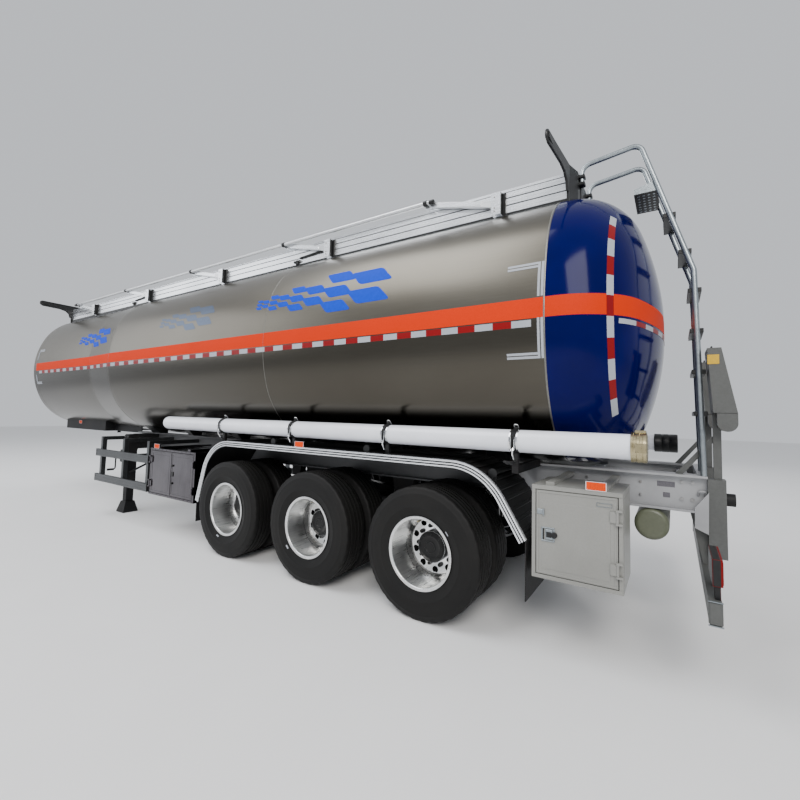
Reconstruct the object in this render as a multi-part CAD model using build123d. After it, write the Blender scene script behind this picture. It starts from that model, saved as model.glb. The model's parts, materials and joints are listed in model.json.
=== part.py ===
"""Three-axle aluminium tank semi-trailer, parked on its landing legs.

Millimetres. +X points forward, +Y to the trailer's left, +Z up. The origin is on the
ground under the middle of the overall length and width.
"""
import os
from math import asin, atan2, cos, degrees, pi, sin, sqrt

from build123d import *

# ---------------------------------------------------------------- driving dimensions
overall_length = 11830.0
overall_width = 2500.0

axle_spacing = 1310.0
axle_count = 3
rear_end_to_last_axle = 2180.0
fit_gap = 0.3            # between pieces that seat on, in or around each other

# twin wheels, 22.5 inch
tyre_radius = 540.0
tyre_width = 300.0
tread_width = 236.0
tyre_bead_width = 218.0
tyre_flats = 30
rim_seat_radius = 285.0
rim_lip_radius = 298.5
rim_width = 254.0        # over the flanges
rim_wall = 11.0
rim_flange = 13.0
disc_offset = 175.0      # from the rim's middle to the face where the two discs meet
disc_thickness = 21.0
hand_hole_radius = 27.0
hand_hole_circle_radius = 212.0
hand_hole_count = 10
hub_cap_radius = 132.0
hub_cap_reach = 92.0     # out of the outer disc's face
hub_cap_chamfer = 16.0
drum_radius = 208.0
drum_width = 200.0
spindle_radius = 48.0

# axle and springs
axle_tube = 150.0
frame_spacing = 900.0    # between the middles of the two rails
spring_width = 90.0
spring_thickness = 84.0
spring_end_gap = 10.0    # from a spring's tip to the middle of its hanger
spring_seat_half = 120.0
spring_camber = 96.0     # from the spring's seat up to its tips
spring_tip_thickness = 34.0
hanger_thickness = 110.0
hanger_length = 150.0
brake_chamber_radius = 82.0
brake_chamber_length = 190.0

# frame rails
rail_top = 1270.0
rail_height = 270.0
rail_flange = 130.0
rail_web = 12.0
rail_flange_thickness = 16.0
rail_rear_setback = 180.0          # from the trailer's rear end
rail_front_x = 6350.0              # ahead of the last axle
crossmember_height = 150.0
crossmember_width = 80.0
crossmember_drop = 50.0

# tank: two oval cylinders joined by a cone
tank_top = 3650.0
rear_bottom = 1260.0
rear_half_width = 1210.0
rear_side_radius = 1700.0
rear_corner_radius = 950.0
front_bottom = 1285.0
front_narrowing = 60.0              # of the half width, from the rear oval to the front one
front_side_radius = 1480.0
front_corner_radius = 900.0
rear_seam_x = -1012.0              # ahead of the last axle, negative is behind it
cone_rear_x = 5930.0
cone_front_x = 6780.0
rear_head_depth = 722.0
rear_dish_radius = 2420.0
rear_knuckle = 567.0
knuckle_rings = 5
dish_rings = 4
front_head_depth = 340.0
front_dish_radius = 5000.0
front_knuckle = 120.0

# walkway on the tank's top; rises and drops are counted from the tank's top
walkway_half_width = 690.0
walkway_rear_x = -1065.0
walkway_front_x = 9085.0
coaming_rise = 80.0
coaming_drop = 210.0
coaming_thickness = 25.0
deck_rise = 30.0
deck_thickness = 12.0
end_plate_thickness = 16.0
end_plate_bulge = 40.0             # of its middle, past the coamings' ends
end_plate_bend_y = 550.0           # where the middle turns back into the wings
horn_sweep = 45.0                  # of the horns' tips, back towards the trailer's middle
horn_overhang = 30.0               # past the tank's side
horn_rise = 155.0
horn_depth = 90.0
post_length = 90.0
post_height = 205.0
post_wall = 12.0
post_first_x = -450.0
post_pitch = 2090.0
post_count = 5

# folding guard rail, folded down
arm_length = 760.0
arm_pivot_drop = 50.0
arm_tip_rise = 130.0
arm_depth = 55.0
arm_thickness = 34.0
arm_pin_radius = 12.0
guard_tube_radius = 21.0
guard_tube_overrun = 90.0

# manholes
manhole_first_x = 250.0
manhole_pitch = 2300.0
manhole_count = 4
collar_radius = 290.0
collar_rise = 90.0
collar_wall = 20.0
collar_floor = 8.0
lid_thickness = 36.0
lid_overhang = 18.0
lid_hinge_radius = 14.0
lid_hinge_reach = 46.0

# rear ladder, left of the middle
ladder_middle_y = 310.0
ladder_half_width = 180.0
ladder_tube_radius = 21.0
ladder_rise = 300.0                # of the handrails' rear corners above the tank's top
handrail_fall = 55.0               # from their rear corners to their front ones
handrail_foot_drop = 105.0         # from the end plate's top edge to the handrails' feet
ladder_corner_x = 1593.0
ladder_knee_x = 1943.0
ladder_knee_z = 2816.0
ladder_foot_x = 1979.0
ladder_bend_radius = 80.0
landing_depth = 170.0              # top tread
landing_z = 3535.0
landing_cheek = 60.0
tread_depth = 84.0
tread_thickness = 28.0
tread_pitch = 312.0
tread_count = 6
tread_top_z = 3300.0

# rear underrun bumper, uprights, sign boxes
bumper_height = 130.0
bumper_depth = 65.0
bumper_bottom = 500.0
bumper_ahead = 45.0                # of the rails' rear ends, to the bumper's front face
bumper_half_width = 1190.0
upright_depth = 110.0
upright_width = 110.0
upright_bottom = 695.0
gusset_length = 110.0
gusset_drop = 180.0                # of its front edge below the rail
gusset_slant = 40.0
gusset_thickness = 10.0
buffer_radius = 45.0
buffer_length = 55.0
buffer_rise = 110.0                # above the rail's underside
stay_reach = 200.0                 # ahead of the rail's rear end
stay_rise = 300.0                  # up the sign post
stay_width = 50.0
stay_thickness = 16.0
sign_post_size = 50.0
sign_box_bottom = 1730.0
sign_box_top = 2200.0
sign_box_bottom_depth = 140.0
sign_box_top_depth = 84.0
sign_box_lean = 30.0               # of its front face, forward at the top
sign_box_outer = 130.0             # from the middle of the rail
sign_box_width = 280.0
marker_height = 130.0              # of the round-bottomed lamp housing under each sign box
marker_depth = 120.0

# hose tubes along both sides
hose_tube_radius = 85.0
hose_tube_height_left = 1490.0     # of its axis
hose_tube_height_right = 1420.0
hose_tube_inset = 112.0            # from the tank's widest line to its axis
hose_tube_rear_x_left = -1637.0
hose_tube_rear_x_right = -1817.0
hose_tube_front_x = 4220.0
hose_cap_radius = 96.0
hose_cap_length = 90.0
strap_width = 40.0
strap_thickness = 6.0

# side brackets that carry the mudguards and hose tubes
bracket_depth = 50.0
bracket_height = 60.0
bracket_x = (-770.0, 430.0, 1660.0, 2900.0)     # ahead of the last axle

# mudguards
mudguard_top = 1312.0
mudguard_thickness = 5.0
mudguard_inset = 5.0               # from the tank's widest line
mudguard_inner_y = 560.0
mudguard_rear_x = -880.0
mudguard_rear_bottom = 790.0
mudguard_rear_knee_x = -560.0
mudguard_front_knee_x = 3050.0
mudguard_front_x = 3270.0
mudguard_front_bottom = 560.0
mudguard_bend_radius = 600.0
mudguard_lip = 45.0

# boxes on the left side
tool_box_rear_x = -1510.0
tool_box_length = 590.0
tool_box_bottom = 550.0
tool_box_height = 640.0
tool_box_depth = 480.0
cabinet_rear_x = 3350.0
cabinet_length = 1100.0
cabinet_bottom = 500.0
cabinet_height = 630.0
cabinet_depth = 560.0
box_face_y = 1190.0
box_wall = 25.0
door_thickness = 22.0
door_gap = 6.0
box_hinge_radius = 9.0
box_hinge_length = 70.0

# side guards
guard_rear_x_left = 4480.0
guard_rear_x_right = 3420.0
guard_front_x = 6120.0
guard_bottom = 520.0
guard_top = 1020.0
guard_plank_height = 110.0
guard_plank_depth = 32.0
guard_post_size = 60.0
guard_face_y = 1205.0

# landing legs
leg_x = 5850.0
leg_y = 830.0
leg_housing = 132.0
leg_housing_bottom = 430.0
leg_housing_top = 1250.0
leg_housing_wall = 12.0
leg_inner_top = 760.0
leg_foot_length = 240.0
leg_foot_width = 210.0
leg_foot_sole = 20.0
leg_foot_height = 170.0
leg_foot_taper = 40.0              # each side, from the sole to the top
leg_shaft_radius = 20.0
leg_shaft_height = 900.0

# coupler under the front section
kingpin_to_front = 1330.0
coupler_underside = 1240.0
coupler_plate_thickness = 10.0
coupler_length = 1800.0
bearer_rise = 330.0
nose_length = 700.0
coupler_width = 1240.0
coupler_ahead_of_pin = 850.0
bearer_thickness = 14.0
kingpin_radius = 25.4
kingpin_flange_radius = 35.7
kingpin_length = 84.0
kingpin_flange_length = 20.0

# air reservoirs
reservoir_radius = 120.0
reservoir_overhang = 70.0          # past the middle of each rail
reservoir_x = -1640.0

# lamps
side_lamp_length = 125.0
side_lamp_height = 60.0
side_lamp_depth = 16.0
coupler_lamp_back = 725.0             # of the lamp on the coupler's side, behind the coupler's front
rear_lamp_length = 320.0
rear_lamp_height = 155.0
rear_lamp_depth = 50.0
rear_lamp_rise = 80.0               # above the bumper, on two feet
rear_lamp_foot = 40.0

# ---------------------------------------------------------------- places worked out
rear_end = -overall_length / 2
front_end = overall_length / 2
last_axle_x = rear_end + rear_end_to_last_axle
axle_x = [last_axle_x + axle_spacing * n for n in range(axle_count)]   # rear to front
lip_y = overall_width / 2 - (tyre_width - rim_width) / 2
rim_mid_y = lip_y - rim_width / 2
disc_face_y = rim_mid_y - disc_offset
inner_rim_mid_y = disc_face_y - disc_offset
rail_y = frame_spacing / 2
rail_bottom = rail_top - rail_height
rail_rear = rear_end + rail_rear_setback
rail_front = last_axle_x + rail_front_x
rear_seam = last_axle_x + rear_seam_x
cone_rear = last_axle_x + cone_rear_x
cone_front = last_axle_x + cone_front_x
front_seam = front_end - front_head_depth
front_half_width = rear_half_width - front_narrowing
kingpin_x = front_end - kingpin_to_front
sides = (("left", 1), ("right", -1))


coaming_top = tank_top + coaming_rise
coaming_foot = tank_top - coaming_drop
deck_level = tank_top + deck_rise
arm_pivot_height = tank_top - arm_pivot_drop
arm_tip_height = tank_top + arm_tip_rise
collar_top = tank_top + collar_rise
horn_top = tank_top + horn_rise
ladder_top = tank_top + ladder_rise
hose_tube_y = rear_half_width - hose_tube_inset
mudguard_outer_y = rear_half_width - mudguard_inset
hose_height = {1: hose_tube_height_left, -1: hose_tube_height_right}
hose_rear_x = {1: hose_tube_rear_x_left, -1: hose_tube_rear_x_right}


def from_axle(distance):
    """X of a place given as its distance ahead of the last axle."""
    return last_axle_x + distance


# ---------------------------------------------------------------- shape helpers
def block(x0, x1, y0, y1, z0, z1):
    """Box between two corners."""
    size = Box(abs(x1 - x0), abs(y1 - y0), abs(z1 - z0))
    return Pos((x0 + x1) / 2, (y0 + y1) / 2, (z0 + z1) / 2) * size


def rod(start, end, radius):
    """Round bar between two points."""
    line = Vector(*end) - Vector(*start)
    plane = Plane(origin=start, z_dir=line.normalized())
    return extrude(plane * Circle(radius), line.length)


def bar_y(x, y0, y1, z, radius):
    """Round bar along Y."""
    return rod((x, min(y0, y1), z), (x, max(y0, y1), z), radius)


def prism_y(points, y0, y1):
    """Outline of (x, z) points drawn out along Y."""
    outline = make_face(Polyline(*[(x, 0, z) for x, z in points], close=True))
    return Pos(0, min(y0, y1), 0) * extrude(outline, abs(y1 - y0), dir=(0, 1, 0))


def prism_x(points, x0, x1):
    """Outline of (y, z) points drawn out along X."""
    outline = make_face(Polyline(*[(0, y, z) for y, z in points], close=True))
    return Pos(min(x0, x1), 0, 0) * extrude(outline, abs(x1 - x0), dir=(1, 0, 0))


def spun_y(profile):
    """Outline of (radius, y) points turned about the Y axis."""
    outline = make_face(Polyline(*[(r, y, 0) for r, y in profile], close=True))
    return revolve(outline, Axis.Y)


def mirrored(shape):
    """The same piece on the right side."""
    return shape.mirror(Plane.XZ)


def on_side(shape, side):
    return shape if side > 0 else mirrored(shape)


def joined(first, *others):
    result = first
    for other in others:
        result = result + other
    return result


def together(shapes):
    """Solids that don't touch, kept in one node."""
    return Compound(children=[solid for shape in shapes for solid in shape.solids()])


parts = {}


# ---------------------------------------------------------------- tank
def oval_wire(x, half_width, bottom, side_radius, corner_radius, inset=0.0, share=1.0):
    """Oval tank section at x: four flat arcs and four corner arcs, all tangent."""
    half_height = (tank_top - bottom) / 2
    middle = bottom + half_height
    # centres of the flat arcs are equally far from the oval's edge
    side_c = half_width - side_radius
    top_c = half_height - side_radius
    reach = side_radius - corner_radius
    # corner centre (u, v): reach from both (side_c, 0) and (0, top_c)
    mid_u, mid_v = side_c / 2, top_c / 2
    span = sqrt(side_c ** 2 + top_c ** 2)
    off = sqrt(reach ** 2 - (span / 2) ** 2)
    u = mid_u - off * top_c / span
    v = mid_v - off * side_c / span
    side_angle = atan2(v, u - side_c)
    top_angle = atan2(v - top_c, u)

    def point(cu, cv, radius, angle, mu, mv):
        radius = radius - inset
        return (x, share * mu * (cu + radius * cos(angle)), middle + share * mv * (cv + radius * sin(angle)))

    edges = []
    for mu, mv in ((1, 1), (-1, 1), (-1, -1), (1, -1)):
        edges.append(ThreePointArc(point(u, v, corner_radius, side_angle, mu, mv),
                                   point(u, v, corner_radius, (side_angle + top_angle) / 2, mu, mv),
                                   point(u, v, corner_radius, top_angle, mu, mv)))
    for mu in (1, -1):
        edges.append(ThreePointArc(point(side_c, 0, side_radius, side_angle, mu, 1),
                                   point(side_c, 0, side_radius, 0, mu, 1),
                                   point(side_c, 0, side_radius, side_angle, mu, -1)))
    for mv in (1, -1):
        edges.append(ThreePointArc(point(0, top_c, side_radius, top_angle, 1, mv),
                                   point(0, top_c, side_radius, pi / 2, 1, mv),
                                   point(0, top_c, side_radius, top_angle, -1, mv)))
    return Wire(edges)


rear_oval = (rear_half_width, rear_bottom, rear_side_radius, rear_corner_radius)
front_oval = (front_half_width, front_bottom, front_side_radius, front_corner_radius)


def oval_prism(x0, x1, section, grow=0.0):
    face = Face(oval_wire(x0, *section, inset=-grow))
    return extrude(face, x1 - x0, dir=(1, 0, 0))


def head(x, direction, depth, dish_radius, knuckle, section):
    """Dished end as rings of the oval: a straight skirt, a knuckle, a shallow dish and a small flat at its middle."""
    half_width = section[0]
    blend = asin((half_width - knuckle) / (dish_radius - knuckle))
    dish_centre = depth - dish_radius * cos(blend / (dish_rings + 1))
    skirt = dish_centre + sqrt((dish_radius - knuckle) ** 2 - (half_width - knuckle) ** 2)
    knuckle_angles = [pi / 2 - (pi / 2 - blend) * n / knuckle_rings for n in range(knuckle_rings + 1)]
    dish_angles = [blend * (1 - n / (dish_rings + 1)) for n in range(1, dish_rings + 1)]
    profile = [(0.0, half_width)]
    profile += [(skirt + knuckle * cos(a), half_width - knuckle + knuckle * sin(a)) for a in knuckle_angles]
    profile += [(dish_centre + dish_radius * cos(a), dish_radius * sin(a)) for a in dish_angles]
    rings = [Face(oval_wire(x + direction * reach, *section, share=radius / half_width)) for reach, radius in profile]
    return loft(rings, ruled=True)


barrel_rear = oval_prism(rear_seam, cone_rear, rear_oval)
barrel_cone = loft([Face(oval_wire(cone_rear, *rear_oval)), Face(oval_wire(cone_front, *front_oval))], ruled=True)
barrel_front = oval_prism(cone_front, front_seam, front_oval)
front_head = head(front_seam, 1, front_head_depth, front_dish_radius, front_knuckle, front_oval)
parts["tank_barrel"] = joined(barrel_rear, barrel_cone, barrel_front, front_head)
parts["tank_rear_head"] = head(rear_seam, -1, rear_head_depth, rear_dish_radius, rear_knuckle, rear_oval)


envelope_overrun = 130.0           # past the rear seam, under the walkway's end plate


def tank_envelope(gap):
    """The tank's straight and conical stretches with the rear head's skirt, grown by a gap."""
    rear = oval_prism(rear_seam - envelope_overrun, cone_rear, rear_oval, gap)
    cone = loft([Face(oval_wire(cone_rear, *rear_oval, inset=-gap)),
                 Face(oval_wire(cone_front, *front_oval, inset=-gap))], ruled=True)
    front = oval_prism(cone_front, front_seam, front_oval, gap)
    return joined(rear, cone, front)


tank_seat = tank_envelope(fit_gap)

# saddles between rails and tank: columns are distance ahead of the last axle, length, half width, height
# above the rail and height of the outer edge
saddle_table = (
    (-400, 160, 760, 260, 8),
    (1050, 120, 760, 260, 8),
    (2300, 120, 760, 260, 8),
    (3450, 120, 760, 260, 8),
    (4650, 120, 760, 260, 8),
    (5720, 240, 860, 400, 90),
)


def saddle(distance, length, half_width, height, edge):
    x = from_axle(distance)
    inner, outer = rail_y - rail_flange / 2, rail_y + rail_flange / 2
    outline = [(inner, rail_top), (outer, rail_top), (half_width, rail_top + height - edge),
               (half_width, rail_top + height), (inner, rail_top + height)]
    left = prism_x(outline, x - length / 2, x + length / 2) - tank_seat
    return [left, mirrored(left)]


parts["tank_saddles"] = together([piece for row in saddle_table for piece in saddle(*row)])


# ---------------------------------------------------------------- walkway
deck_half = walkway_half_width - coaming_thickness
walk_rear = from_axle(walkway_rear_x)
walk_front = from_axle(walkway_front_x)
post_x = [from_axle(post_first_x + post_pitch * n) for n in range(post_count)]
manhole_x = [from_axle(manhole_first_x + manhole_pitch * n) for n in range(manhole_count)]
post_bottom = arm_pivot_height - post_height / 2
arm_slot = arm_thickness + 10.0
arm_y = walkway_half_width + post_wall + arm_slot / 2


def guard_post(x):
    """Channel on the coaming's outside that holds one arm's pin."""
    y0 = walkway_half_width
    rear = x - post_length / 2
    front = x + post_length / 2
    cheek_in = block(rear, front, y0, y0 + post_wall, post_bottom, post_bottom + post_height)
    y1 = arm_y + arm_slot / 2
    cheek_out = block(rear, front, y1, y1 + post_wall, post_bottom, post_bottom + post_height)
    back = block(rear, rear + post_wall, y0, y1, post_bottom, post_bottom + post_height)
    pin = bar_y(x, y0, y1 + post_wall, arm_pivot_height, arm_pin_radius)
    return joined(cheek_in, cheek_out, back, pin)


def plan_line(beyond):
    """Half of the end plate's line seen from above, as (how far past the coaming's end, y)."""
    tip = rear_half_width + horn_overhang
    return [(end_plate_bulge + beyond, 0), (end_plate_bulge + beyond, end_plate_bend_y),
            (beyond, walkway_half_width), (beyond - horn_sweep, tip + 1)]


def outside(end, toward, beyond, thickness):
    """Upright wall along the end plate's line, for making the plate or for trimming the deck to it."""
    near = plan_line(beyond)
    far = [(across + thickness, y) for across, y in reversed(near)]
    half = [(end + toward * across, y) for across, y in near + far]
    foot, height = coaming_foot - 2 * horn_depth, horn_top - coaming_foot + 4 * horn_depth
    wall = extrude(make_face(Polyline(*[(x, y, 0) for x, y in half], close=True)), height, dir=(0, 0, 1))
    wall = Pos(0, 0, foot) * wall
    return wall + mirrored(wall)


deck_rear, deck_front = walk_rear - end_plate_bulge, walk_front + end_plate_bulge
coaming_left = block(walk_rear, walk_front, deck_half, walkway_half_width, coaming_foot - horn_depth, coaming_top)
deck = block(deck_rear, deck_front, -deck_half, deck_half, deck_level, deck_level + deck_thickness)
walkway = joined(coaming_left, mirrored(coaming_left), deck, *[guard_post(x) for x in post_x])
walkway = walkway - tank_seat
for end, toward in ((walk_rear, -1), (walk_front, 1)):
    walkway = walkway - outside(end, toward, -fit_gap, 4 * end_plate_bulge)
for x in manhole_x:
    opening = Pos(x, 0, deck_level + deck_thickness / 2) * Cylinder(collar_radius + lid_overhang, deck_thickness * 3)
    walkway = walkway - opening
parts["walkway"] = walkway

# one half of the end plate seen along the trailer, as (y, z)
horn_tip_y = rear_half_width + horn_overhang
horn_outline = [(0, horn_top), (horn_tip_y - 0.3 * horn_depth, horn_top), (horn_tip_y, horn_top - 0.25 * horn_depth),
                (horn_tip_y, horn_top - 0.75 * horn_depth), (horn_tip_y - 0.4 * horn_depth, horn_top - horn_depth),
                (walkway_half_width + 230, horn_top - 1.05 * horn_depth), (walkway_half_width + 130, horn_top - 1.3 * horn_depth),
                (walkway_half_width + 70, horn_top - 1.85 * horn_depth), (walkway_half_width + 35, horn_top - 2.7 * horn_depth),
                (walkway_half_width + 20, coaming_foot - horn_depth), (0, coaming_foot - horn_depth)]


def end_plate(end, toward):
    """Plate across the walkway's end, bulged a little, with a horn swept out on each side."""
    reach = end_plate_bulge + end_plate_thickness + horn_sweep
    face = prism_x(horn_outline, end - reach, end + reach)
    plate = outside(end, toward, 0, end_plate_thickness) & (face + mirrored(face))
    return plate - tank_seat


parts["walkway_end_plates"] = together([end_plate(walk_rear, -1), end_plate(walk_front, 1)])


# ---------------------------------------------------------------- manholes and lids
hinge_gap = 5.0
lid_underside = collar_top + hinge_gap
lid_top = lid_underside + lid_thickness
lid_hinge_offset = collar_radius + lid_overhang + lid_hinge_reach
lid_hinge_z = lid_underside + lid_thickness / 2
lid_barrel = 120.0
lid_ear = 16.0
lid_pin_radius = 7.0


def manhole_collar(x):
    ring = Pos(x, 0, (coaming_foot + collar_top) / 2) * Cylinder(collar_radius, collar_top - coaming_foot)
    ring = ring - tank_seat
    depth = collar_top - tank_top - collar_floor
    bore = Pos(x, 0, collar_top - depth / 2) * Cylinder(collar_radius - collar_wall, depth)
    hinge_x = x - lid_hinge_offset
    half = lid_barrel / 2 + 2 + lid_ear
    pin = bar_y(hinge_x, -half, half, lid_hinge_z, lid_pin_radius)
    pieces = [ring - bore, pin]
    for side in (1, -1):
        inner = side * (lid_barrel / 2 + 2)
        outer = side * half
        pieces.append(block(hinge_x - lid_hinge_radius, x - collar_radius + 12, inner, outer,
                            deck_level + deck_thickness + fit_gap, collar_top))
        pieces.append(block(hinge_x - lid_hinge_radius, hinge_x + lid_hinge_radius, inner, outer,
                            collar_top - 30, lid_hinge_z + lid_hinge_radius))
    return joined(*pieces)


def manhole_lid(x):
    hinge_x = x - lid_hinge_offset
    plate = Pos(x, 0, (lid_underside + lid_top) / 2) * Cylinder(collar_radius + lid_overhang, lid_thickness)
    barrel = bar_y(hinge_x, -lid_barrel / 2, lid_barrel / 2, lid_hinge_z, lid_hinge_radius)
    arm = block(hinge_x, x - collar_radius, -lid_barrel / 2 + 10, lid_barrel / 2 - 10,
                lid_hinge_z - 8, lid_hinge_z + 8)
    bore = bar_y(hinge_x, -lid_barrel, lid_barrel, lid_hinge_z, lid_pin_radius + fit_gap)
    return joined(plate, barrel, arm) - bore


parts["manhole_collars"] = together([manhole_collar(x) for x in manhole_x])
for n, x in enumerate(manhole_x, 1):
    parts[f"manhole_lid_{n}"] = manhole_lid(x)


# ---------------------------------------------------------------- folding guard rail, left side
arm_rise = arm_tip_height - arm_pivot_height
arm_run = sqrt(arm_length ** 2 - arm_rise ** 2)
arm_tilt = degrees(atan2(arm_rise, arm_run))
guard_tube_y = arm_y + arm_thickness / 2 + 5.0 + guard_tube_radius


def guard_arm(x):
    """Flat arm from the post's pin to the tube, with the tube's pin on it."""
    half = arm_thickness / 2
    body = joined(block(0, arm_length, -half, half, -arm_depth / 2, arm_depth / 2),
                  bar_y(0, -half, half, 0, arm_depth / 2), bar_y(arm_length, -half, half, 0, arm_depth / 2))
    bore = bar_y(0, -arm_thickness, arm_thickness, 0, arm_pin_radius + fit_gap)
    tip_pin = bar_y(arm_length, 0, guard_tube_y - arm_y + guard_tube_radius, 0, arm_pin_radius - 2)
    return Pos(x, arm_y, arm_pivot_height) * Rot(0, -arm_tilt, 0) * (joined(body, tip_pin) - bore)


for n, x in enumerate(post_x, 1):
    parts[f"guard_arm_{n}"] = guard_arm(x)

tube_rear = post_x[0] + arm_run - guard_tube_overrun
tube_front = post_x[-1] + arm_run + guard_tube_overrun
guard_tube = rod((tube_rear, guard_tube_y, arm_tip_height), (tube_front, guard_tube_y, arm_tip_height),
                 guard_tube_radius)
for x in post_x:
    guard_tube = guard_tube - bar_y(x + arm_run, arm_y, guard_tube_y + 2 * guard_tube_radius, arm_tip_height,
                                    arm_pin_radius - 2 + fit_gap)
parts["guard_rail"] = guard_tube


# ---------------------------------------------------------------- chassis frame
def rail(side):
    y = side * rail_y
    half = rail_flange / 2
    web = block(rail_rear, rail_front, y - rail_web / 2, y + rail_web / 2, rail_bottom, rail_top)
    top = block(rail_rear, rail_front, y - half, y + half, rail_top - rail_flange_thickness, rail_top)
    low = block(rail_rear, rail_front, y - half, y + half, rail_bottom, rail_bottom + rail_flange_thickness)
    return joined(web, top, low)


crossmember_table = (-1850, -1180, -620, 655, 1965, 3200, 3900, 4900, 5850)   # ahead of the last axle
crossmember_half = rail_y - rail_web / 2


def crossmember(distance):
    x = from_axle(distance)
    top = rail_top - crossmember_drop
    return block(x - crossmember_width / 2, x + crossmember_width / 2, -crossmember_half, crossmember_half,
                 top - crossmember_height, top)


end_beam = block(rail_rear, rail_rear + 60, -crossmember_half, crossmember_half, rail_bottom, rail_top)
chassis = joined(rail(1), rail(-1), end_beam, *[crossmember(d) for d in crossmember_table])
nose_cut = prism_y([(rail_front - nose_length, rail_bottom - 1), (rail_front + 1, rail_bottom - 1),
                    (rail_front + 1, coupler_underside)], -frame_spacing, frame_spacing)
parts["chassis_frame"] = chassis - nose_cut


# ---------------------------------------------------------------- coupler and kingpin
plate_top = coupler_underside + coupler_plate_thickness
coupler_front = kingpin_x + coupler_ahead_of_pin
coupler_rear = coupler_front - coupler_length
bearer_top = coupler_underside + bearer_rise
outer_web_y = coupler_width / 2 - bearer_thickness / 2
kingpin_collar_radius = 36.5
kingpin_collar_length = 35.0


def coupler():
    pieces = [block(coupler_rear, coupler_front, -coupler_width / 2, coupler_width / 2,
                    coupler_underside, plate_top)]
    for side in (1, -1):
        y = side * rail_y
        pieces.append(block(rail_front + fit_gap, coupler_front, y - bearer_thickness / 2, y + bearer_thickness / 2,
                            coupler_underside, bearer_top))
        y = side * outer_web_y
        pieces.append(block(coupler_rear, coupler_front, y - bearer_thickness / 2, y + bearer_thickness / 2,
                            coupler_underside, bearer_top))
    for n in range(5):
        x = coupler_rear + (coupler_length - bearer_thickness) * n / 4
        pieces.append(block(x, x + bearer_thickness, -coupler_width / 2, coupler_width / 2,
                            coupler_underside, bearer_top))
    frame = joined(*pieces) - tank_seat
    waist_bottom = coupler_underside - kingpin_length + kingpin_flange_length
    pin = joined(Pos(kingpin_x, 0, coupler_underside - kingpin_collar_length / 2)
                 * Cylinder(kingpin_collar_radius, kingpin_collar_length),
                 Pos(kingpin_x, 0, (coupler_underside + waist_bottom) / 2)
                 * Cylinder(kingpin_radius, coupler_underside - waist_bottom),
                 Pos(kingpin_x, 0, waist_bottom - kingpin_flange_length / 2)
                 * Cylinder(kingpin_flange_radius, kingpin_flange_length))
    return frame + pin


parts["coupler"] = coupler()


# ---------------------------------------------------------------- axles, springs, hangers
axle_z = tyre_radius
beam_half = inner_rim_mid_y - 60.0
spindle_end = disc_face_y + disc_thickness + 40.0
spring_bottom = axle_z + axle_tube / 2 + 12.0
backing_thickness = 10.0


def axle(x):
    half = axle_tube / 2
    beam = block(x - half, x + half, -beam_half, beam_half, axle_z - half, axle_z + half)
    pieces = [beam, bar_y(x, -spindle_end, spindle_end, axle_z, spindle_radius)]
    for side in (1, -1):
        edge = side * beam_half
        pieces.append(bar_y(x, edge - side * backing_thickness, edge, axle_z, drum_radius - 12))
        seat_y = side * rail_y
        pieces.append(block(x - half - 20, x + half + 20, seat_y - spring_width / 2, seat_y + spring_width / 2,
                            axle_z + half, spring_bottom - fit_gap))
        chamber_y = side * (rail_y - 150)
        pieces.append(rod((x + half - 5, chamber_y, axle_z + 40), (x + half + brake_chamber_length, chamber_y, axle_z + 40),
                          brake_chamber_radius))
    return joined(*pieces)


for n, x in enumerate(axle_x, 1):
    parts[f"axle_{n}"] = axle(x)


spring_half_span = axle_spacing / 2 - spring_end_gap
spring_tip_top = spring_bottom + spring_camber + spring_tip_thickness


def spring(x, side):
    """Leaf pack drawn as one arched bar whose tips run under the hangers."""
    y = side * rail_y
    top = spring_bottom + spring_thickness
    tip = spring_bottom + spring_camber
    outline = [(x - spring_half_span, tip), (x - spring_seat_half, spring_bottom), (x + spring_seat_half, spring_bottom),
               (x + spring_half_span, tip), (x + spring_half_span, spring_tip_top),
               (x + spring_seat_half, top), (x - spring_seat_half, top), (x - spring_half_span, spring_tip_top)]
    return prism_y(outline, y - spring_width / 2, y + spring_width / 2)


parts["springs"] = together([spring(x, side) for x in axle_x for _, side in sides])

hanger_bottom = spring_bottom + 60.0
hanger_x = ([axle_x[0] - axle_spacing / 2] + [x + axle_spacing / 2 for x in axle_x])


def hanger(x, side):
    """Hanger under the rail with a slot at its foot for the spring ends."""
    y = side * rail_y
    half = hanger_length / 2
    outline = [(x - half - 60, rail_bottom), (x - half, hanger_bottom), (x + half, hanger_bottom),
               (x + half + 60, rail_bottom)]
    body = prism_y(outline, y - hanger_thickness / 2, y + hanger_thickness / 2)
    slot = block(x - half - 100, x + half + 100, y - spring_width / 2 - fit_gap, y + spring_width / 2 + fit_gap,
                 hanger_bottom - 1, spring_tip_top + fit_gap)
    return body - slot


parts["spring_hangers"] = together([hanger(x, side) for x in hanger_x for _, side in sides])


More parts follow.
